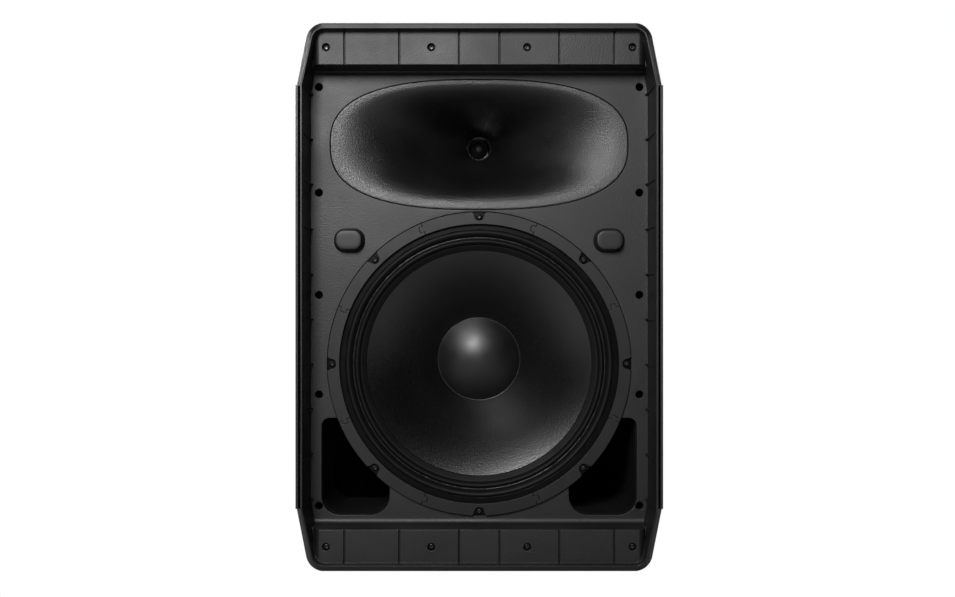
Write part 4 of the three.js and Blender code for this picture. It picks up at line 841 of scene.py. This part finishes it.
def build_surround():
    """Coated cloth from the cone to the gasket: two slim rolls, then a deep groove."""
    r0, r1 = CONE_R - 4.5, GASKET_INNER_R - 0.2
    land = GASKET_FACE + 3.2
    edge = CONE_EDGE - 0.5
    knots = [
        (r0, cone_depth(r0) - 0.5), (CONE_R, edge - 0.4), (118.6, edge - 0.8), (119.4, edge - 2.6),
        (120.9, edge - 4.6), (122.6, edge - 4.9), (124.0, edge - 3.6), (125.1, land + 4.6),
        (126.2, land + 4.4), (127.4, land + 2.6), (128.8, land + 0.8), (130.4, land - 0.1),
        (132.0, land + 0.2), (133.4, land + 1.6), (134.6, land + 3.8), (136, land + 4.6),
        (137.4, land + 4.8), (r1, land + 4.9),
    ]
    smooth = []
    for i in range(len(knots) - 1):
        p0, p1, p2, p3 = (Vector(knots[max(0, min(len(knots) - 1, i + d))]) for d in (-1, 0, 1, 2))
        for k in range(4):
            t = k / 4
            smooth.append(0.5 * ((2 * p1) + (p2 - p0) * t + (2 * p0 - 5 * p1 + 4 * p2 - p3) * t * t
                                 + (3 * p1 - p0 - 3 * p2 + p3) * t ** 3))
    smooth.append(Vector(knots[-1]))
    front = [(p.x, p.y) for p in smooth]
    back = [(r, y + 0.7) for r, y in reversed(front)]
    return turned_y(front + back, 0, WOOFER_Z, 200)


def bend_radially(thing):
    """Takes the piece off its body and bakes its transform into its mesh."""
    thing.parent = None
    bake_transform(thing)


surround = piece("surround_rolls", build_surround(), CLOTH, body=None, sharp=80,
                 replaces=["woofer_surround"])
bend_radially(surround)
adhesive = piece("surround_adhesive", ring_bead(BEAD_R, GASKET_FACE + 7.7, 0.5, count=360, wobble=0.9), GLUE,
                 body=None, sharp=80)
bend_radially(adhesive)


def frame_screw(x, z, y, r=3.3):
    """A button-head screw with a star socket."""
    head = turned_y([(0, y - 2.6), (1.6, y - 2.55), (2.6, y - 2.0), (r, y - 0.6), (r, y), (0, y)], x, z, 32)
    star = []
    for k in range(24):
        reach = 1.55 if k % 4 in (0, 1) else 1.15
        star.append((x + reach * math.cos(math.tau * k / 24), z + reach * math.sin(math.tau * k / 24)))
    return combined(head, [("DIFFERENCE", along_y(star, y - 4, y - 1.2))])


flange_face = node_box("woofer_basket")[0].y
for index, angle in enumerate(BOLT_ANGLES):
    x, z = BOLT_R * math.cos(angle), WOOFER_Z + BOLT_R * math.sin(angle)
    piece(f"frame_screw_{index + 1}", frame_screw(x, z, flange_face - 0.2), SCREW,
          bevel=0.15, sharp=45, replaces=[f"woofer_screw_{index + 1}"])

for index, (x, z) in enumerate([(x, z) for z in SHELF_SCREW_ZS for x in SHELF_SCREW_XS]):
    piece(f"shelf_screw_{index + 1}", frame_screw(x, z, shelf_face(z) + 4.4, 2.9), SCREW,
          bevel=0.15, sharp=45)


# ---------- bumpers and ports ----------

def bumper(side):
    low, high = node_box("grille_bumper_right")
    middle = node_middle("grille_bumper_right")
    width, height = high.x - low.x, high.z - low.z
    rings = []
    for grow, y in ((2.9, BAFFLE + 0.2), (2.9, BAFFLE - 0.7), (2.5, BAFFLE - 1.5), (0.3, low.y + 1.0),
                    (0.05, low.y + 0.45), (-0.6, low.y + 0.15), (-1.6, low.y), (-5, low.y)):
        outline = rectangle(width + 2 * grow, height + 2 * grow, 8 + grow, side * middle.x, middle.z)
        rings.append([(u, y, v) for u, v in rounded(outline, 9)])
    return loft(rings)


for side, name in ((-1, "left"), (1, "right")):
    piece(f"bumper_pad_{name}", bumper(side), RUBBER, sharp=40,
          replaces=[f"grille_bumper_{name}"])


def port_duct():
    low, high = node_box("port_duct_right")
    outer = port_opening(-3, low.y, high.y)
    well = rod_y(WELL_R, low.y - 1, low.y + 40, WELL_X, WELL_HEIGHTS[0], 24)
    return combined(outer, [("DIFFERENCE", port_opening(0, low.y - 1, high.y + 1)), ("DIFFERENCE", well)])


duct_mesh = port_duct()
piece("duct_right", duct_mesh, FITTING, replaces=["port_duct_right"])
left_duct = mesh_of("duct_left", mirrored(solid_of(duct_mesh)))
piece("duct_left", left_duct, FITTING, replaces=["port_duct_left"])


# ---------- rear panel: marks and screws ----------

MARK_DEPTH = 0.15
DIAL_SWEEP = math.radians(150)
DIAL_MARKS = 11


def capsule(x, z, length, width, angle, a, b):
    """A slim bar with round ends, at an angle from upright."""
    bar = rounded(rectangle(width, length, width * 0.49), 20)
    turn = Matrix.Rotation(-angle, 2)
    return along_y([(x + p.x, z + p.y) for p in (turn @ point for point in bar)], a, b)


def dial_marks(knob):
    """Short bars round a knob, with longer ones at both ends and in the middle."""
    low, high = node_box(knob)
    x, z, r = (low.x + high.x) / 2, (low.z + high.z) / 2, (high.x - low.x) / 2
    bars = []
    for k in range(DIAL_MARKS):
        angle = DIAL_SWEEP * (2 * k / (DIAL_MARKS - 1) - 1)
        length = 2.6 if k in (0, DIAL_MARKS // 2, DIAL_MARKS - 1) else 1.5
        reach = r + 2.2 + length / 2
        bars.append(capsule(x + reach * math.sin(angle), z + reach * math.cos(angle), length, 0.45, angle,
                            PANEL_FACE - MARK_DEPTH, PANEL_FACE + MARK_DEPTH))
    return together(*bars)


KNOBS = [f"level_knob_{index}" for index in (1, 2, 3)]
piece("panel_dial_marks", together(*[dial_marks(knob) for knob in KNOBS]), MARK)
for index, knob in enumerate(KNOBS, 1):
    low, high = node_box(knob)
    middle, r = node_middle(knob), (high.x - low.x) / 2
    pointer = capsule(middle.x, middle.z + 0.55 * r, 0.7 * r, 1.1, 0, high.y - 0.3, high.y + 0.25)
    piece(f"knob_pointer_{index}", pointer, MARK, body=f"knob_{index}", bevel=0.1)

panel_screws = [(side * (PANEL_WIDTH / 2 - 5), PANEL_Z + rise * (PANEL_HEIGHT / 2 - 7)) for side in (-1, 1)
                for rise in (-1, -0.35, 0.35, 1)]
for index, (x, z) in enumerate(panel_screws):
    corners, faces = solid_of(frame_screw(x, z, 0, 2.9))
    head = [(cx, PANEL_FACE - cy - 0.05, cz) for cx, cy, cz in corners], faces
    piece(f"panel_screw_{index + 1}", head, SCREW, bevel=0.15, sharp=45)


# ---------- CAD pieces that stay, with their finishes ----------

FINISHES = {
    "handle_grip": RUBBER, "pole_socket": FITTING, "driver_magnet": PAINT, "driver_phase_plug": GASKET,
    "driver_diaphragm": ALUMINIUM, "driver_cap": FITTING, "woofer_basket": NOTCH_SHADE_BASKET,
    "woofer_voice_coil": ALUMINIUM, "woofer_spider": SPIDER, "woofer_top_plate": STEEL,
    "woofer_magnet": FERRITE, "woofer_back_plate": STEEL, "amp_panel": PAINT, "amp_heat_sink": DARK_METAL,
    "amp_circuit_board": BOARD, "amp_capacitor_left": ALUMINIUM, "amp_capacitor_right": ALUMINIUM,
    "amp_transformer": FERRITE, "input_socket_left": FITTING, "input_socket_right": FITTING,
    "link_socket": FITTING, "latch_tab_left": STEEL, "latch_tab_right": STEEL, "mains_inlet": FITTING,
    "power_rocker": FITTING, "level_knob_1": RUBBER, "level_knob_2": RUBBER, "level_knob_3": RUBBER,
    "mode_button": RUBBER, "status_lens": LENS, "acoustic_lining_right": FOAM, "acoustic_lining_left": FOAM,
    "woofer_lead": LEAD, "driver_lead": LEAD, "foot_front_left": RUBBER, "foot_front_right": RUBBER,
    "foot_rear_left": RUBBER, "foot_rear_right": RUBBER,
}
for name, material in FINISHES.items():
    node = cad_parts[name]
    node.data.materials.clear()
    node.data.materials.append(material)


# ---------- floor, light and camera ----------

def white_to_camera(node_tree, surface_output, rest_socket):
    """Shows plain white where the camera looks straight at it, and leaves the rest of the light alone."""
    nodes, links = node_tree.nodes, node_tree.links
    path = nodes.new("ShaderNodeLightPath")
    white = nodes.new("ShaderNodeEmission")
    mix = nodes.new("ShaderNodeMixShader")
    links.new(path.outputs["Is Camera Ray"], mix.inputs["Fac"])
    links.new(rest_socket, mix.inputs[1])
    links.new(white.outputs["Emission"], mix.inputs[2])
    links.new(mix.outputs["Shader"], surface_output)


def build_floor():
    bpy.ops.mesh.primitive_plane_add(size=30)
    floor = bpy.context.object
    floor.name = "floor"
    material, nodes, links, principled = shader("floor_pale", gray(0.3), 0.9)
    surface = nodes["Material Output"].inputs["Surface"]
    white_to_camera(material.node_tree, surface, principled.outputs["BSDF"])
    floor.data.materials.append(material)


def build_world():
    world = bpy.data.worlds.new("studio")
    bpy.context.scene.world = world
    world.use_nodes = True
    nodes = world.node_tree.nodes
    background = nodes["Background"]
    background.inputs["Color"].default_value = (1, 1, 1, 1)
    background.inputs["Strength"].default_value = 0.004
    surface = nodes["World Output"].inputs["Surface"]
    white_to_camera(world.node_tree, surface, background.outputs["Background"])


def soft_box(name, place, size, power):
    """An area light that faces the middle of the cabinet's front and isn't seen itself."""
    light = bpy.data.lights.new(name, "AREA")
    light.shape = "RECTANGLE"
    light.size, light.size_y = size
    light.energy = power
    lamp = bpy.data.objects.new(name, light)
    bpy.context.scene.collection.objects.link(lamp)
    lamp.location = place
    lamp.rotation_euler = (Vector(LIT_POINT) - Vector(place)).to_track_quat("-Z", "Y").to_euler()
    lamp.visible_camera = False


LIT_POINT = (0, -0.1, 0.27)
build_floor()
build_world()
soft_box("key", (-0.27, -1.35, 0.92), (0.4, 0.5), 23)
soft_box("near_fill", (-0.4, -0.95, 0.8), (0.4, 0.4), 3)
soft_box("back_left", (-1.3, 1.5, 1.2), (1.0, 1.0), 80)
soft_box("back_right", (1.3, 1.5, 0.7), (1.0, 1.0), 45)
soft_box("above", (0, 0.8, 2.2), (1.0, 1.0), 30)

camera_data = bpy.data.cameras.new("camera")
camera_data.sensor_width = 36
camera_data.lens = 35.83
camera = bpy.data.objects.new("camera", camera_data)
bpy.context.scene.collection.objects.link(camera)
camera.location = (-0.0017, -1.046, 0.2629)
camera.rotation_euler = (math.pi / 2, 0, 0)
bpy.context.scene.camera = camera
bpy.context.scene.view_settings.view_transform = "Standard"
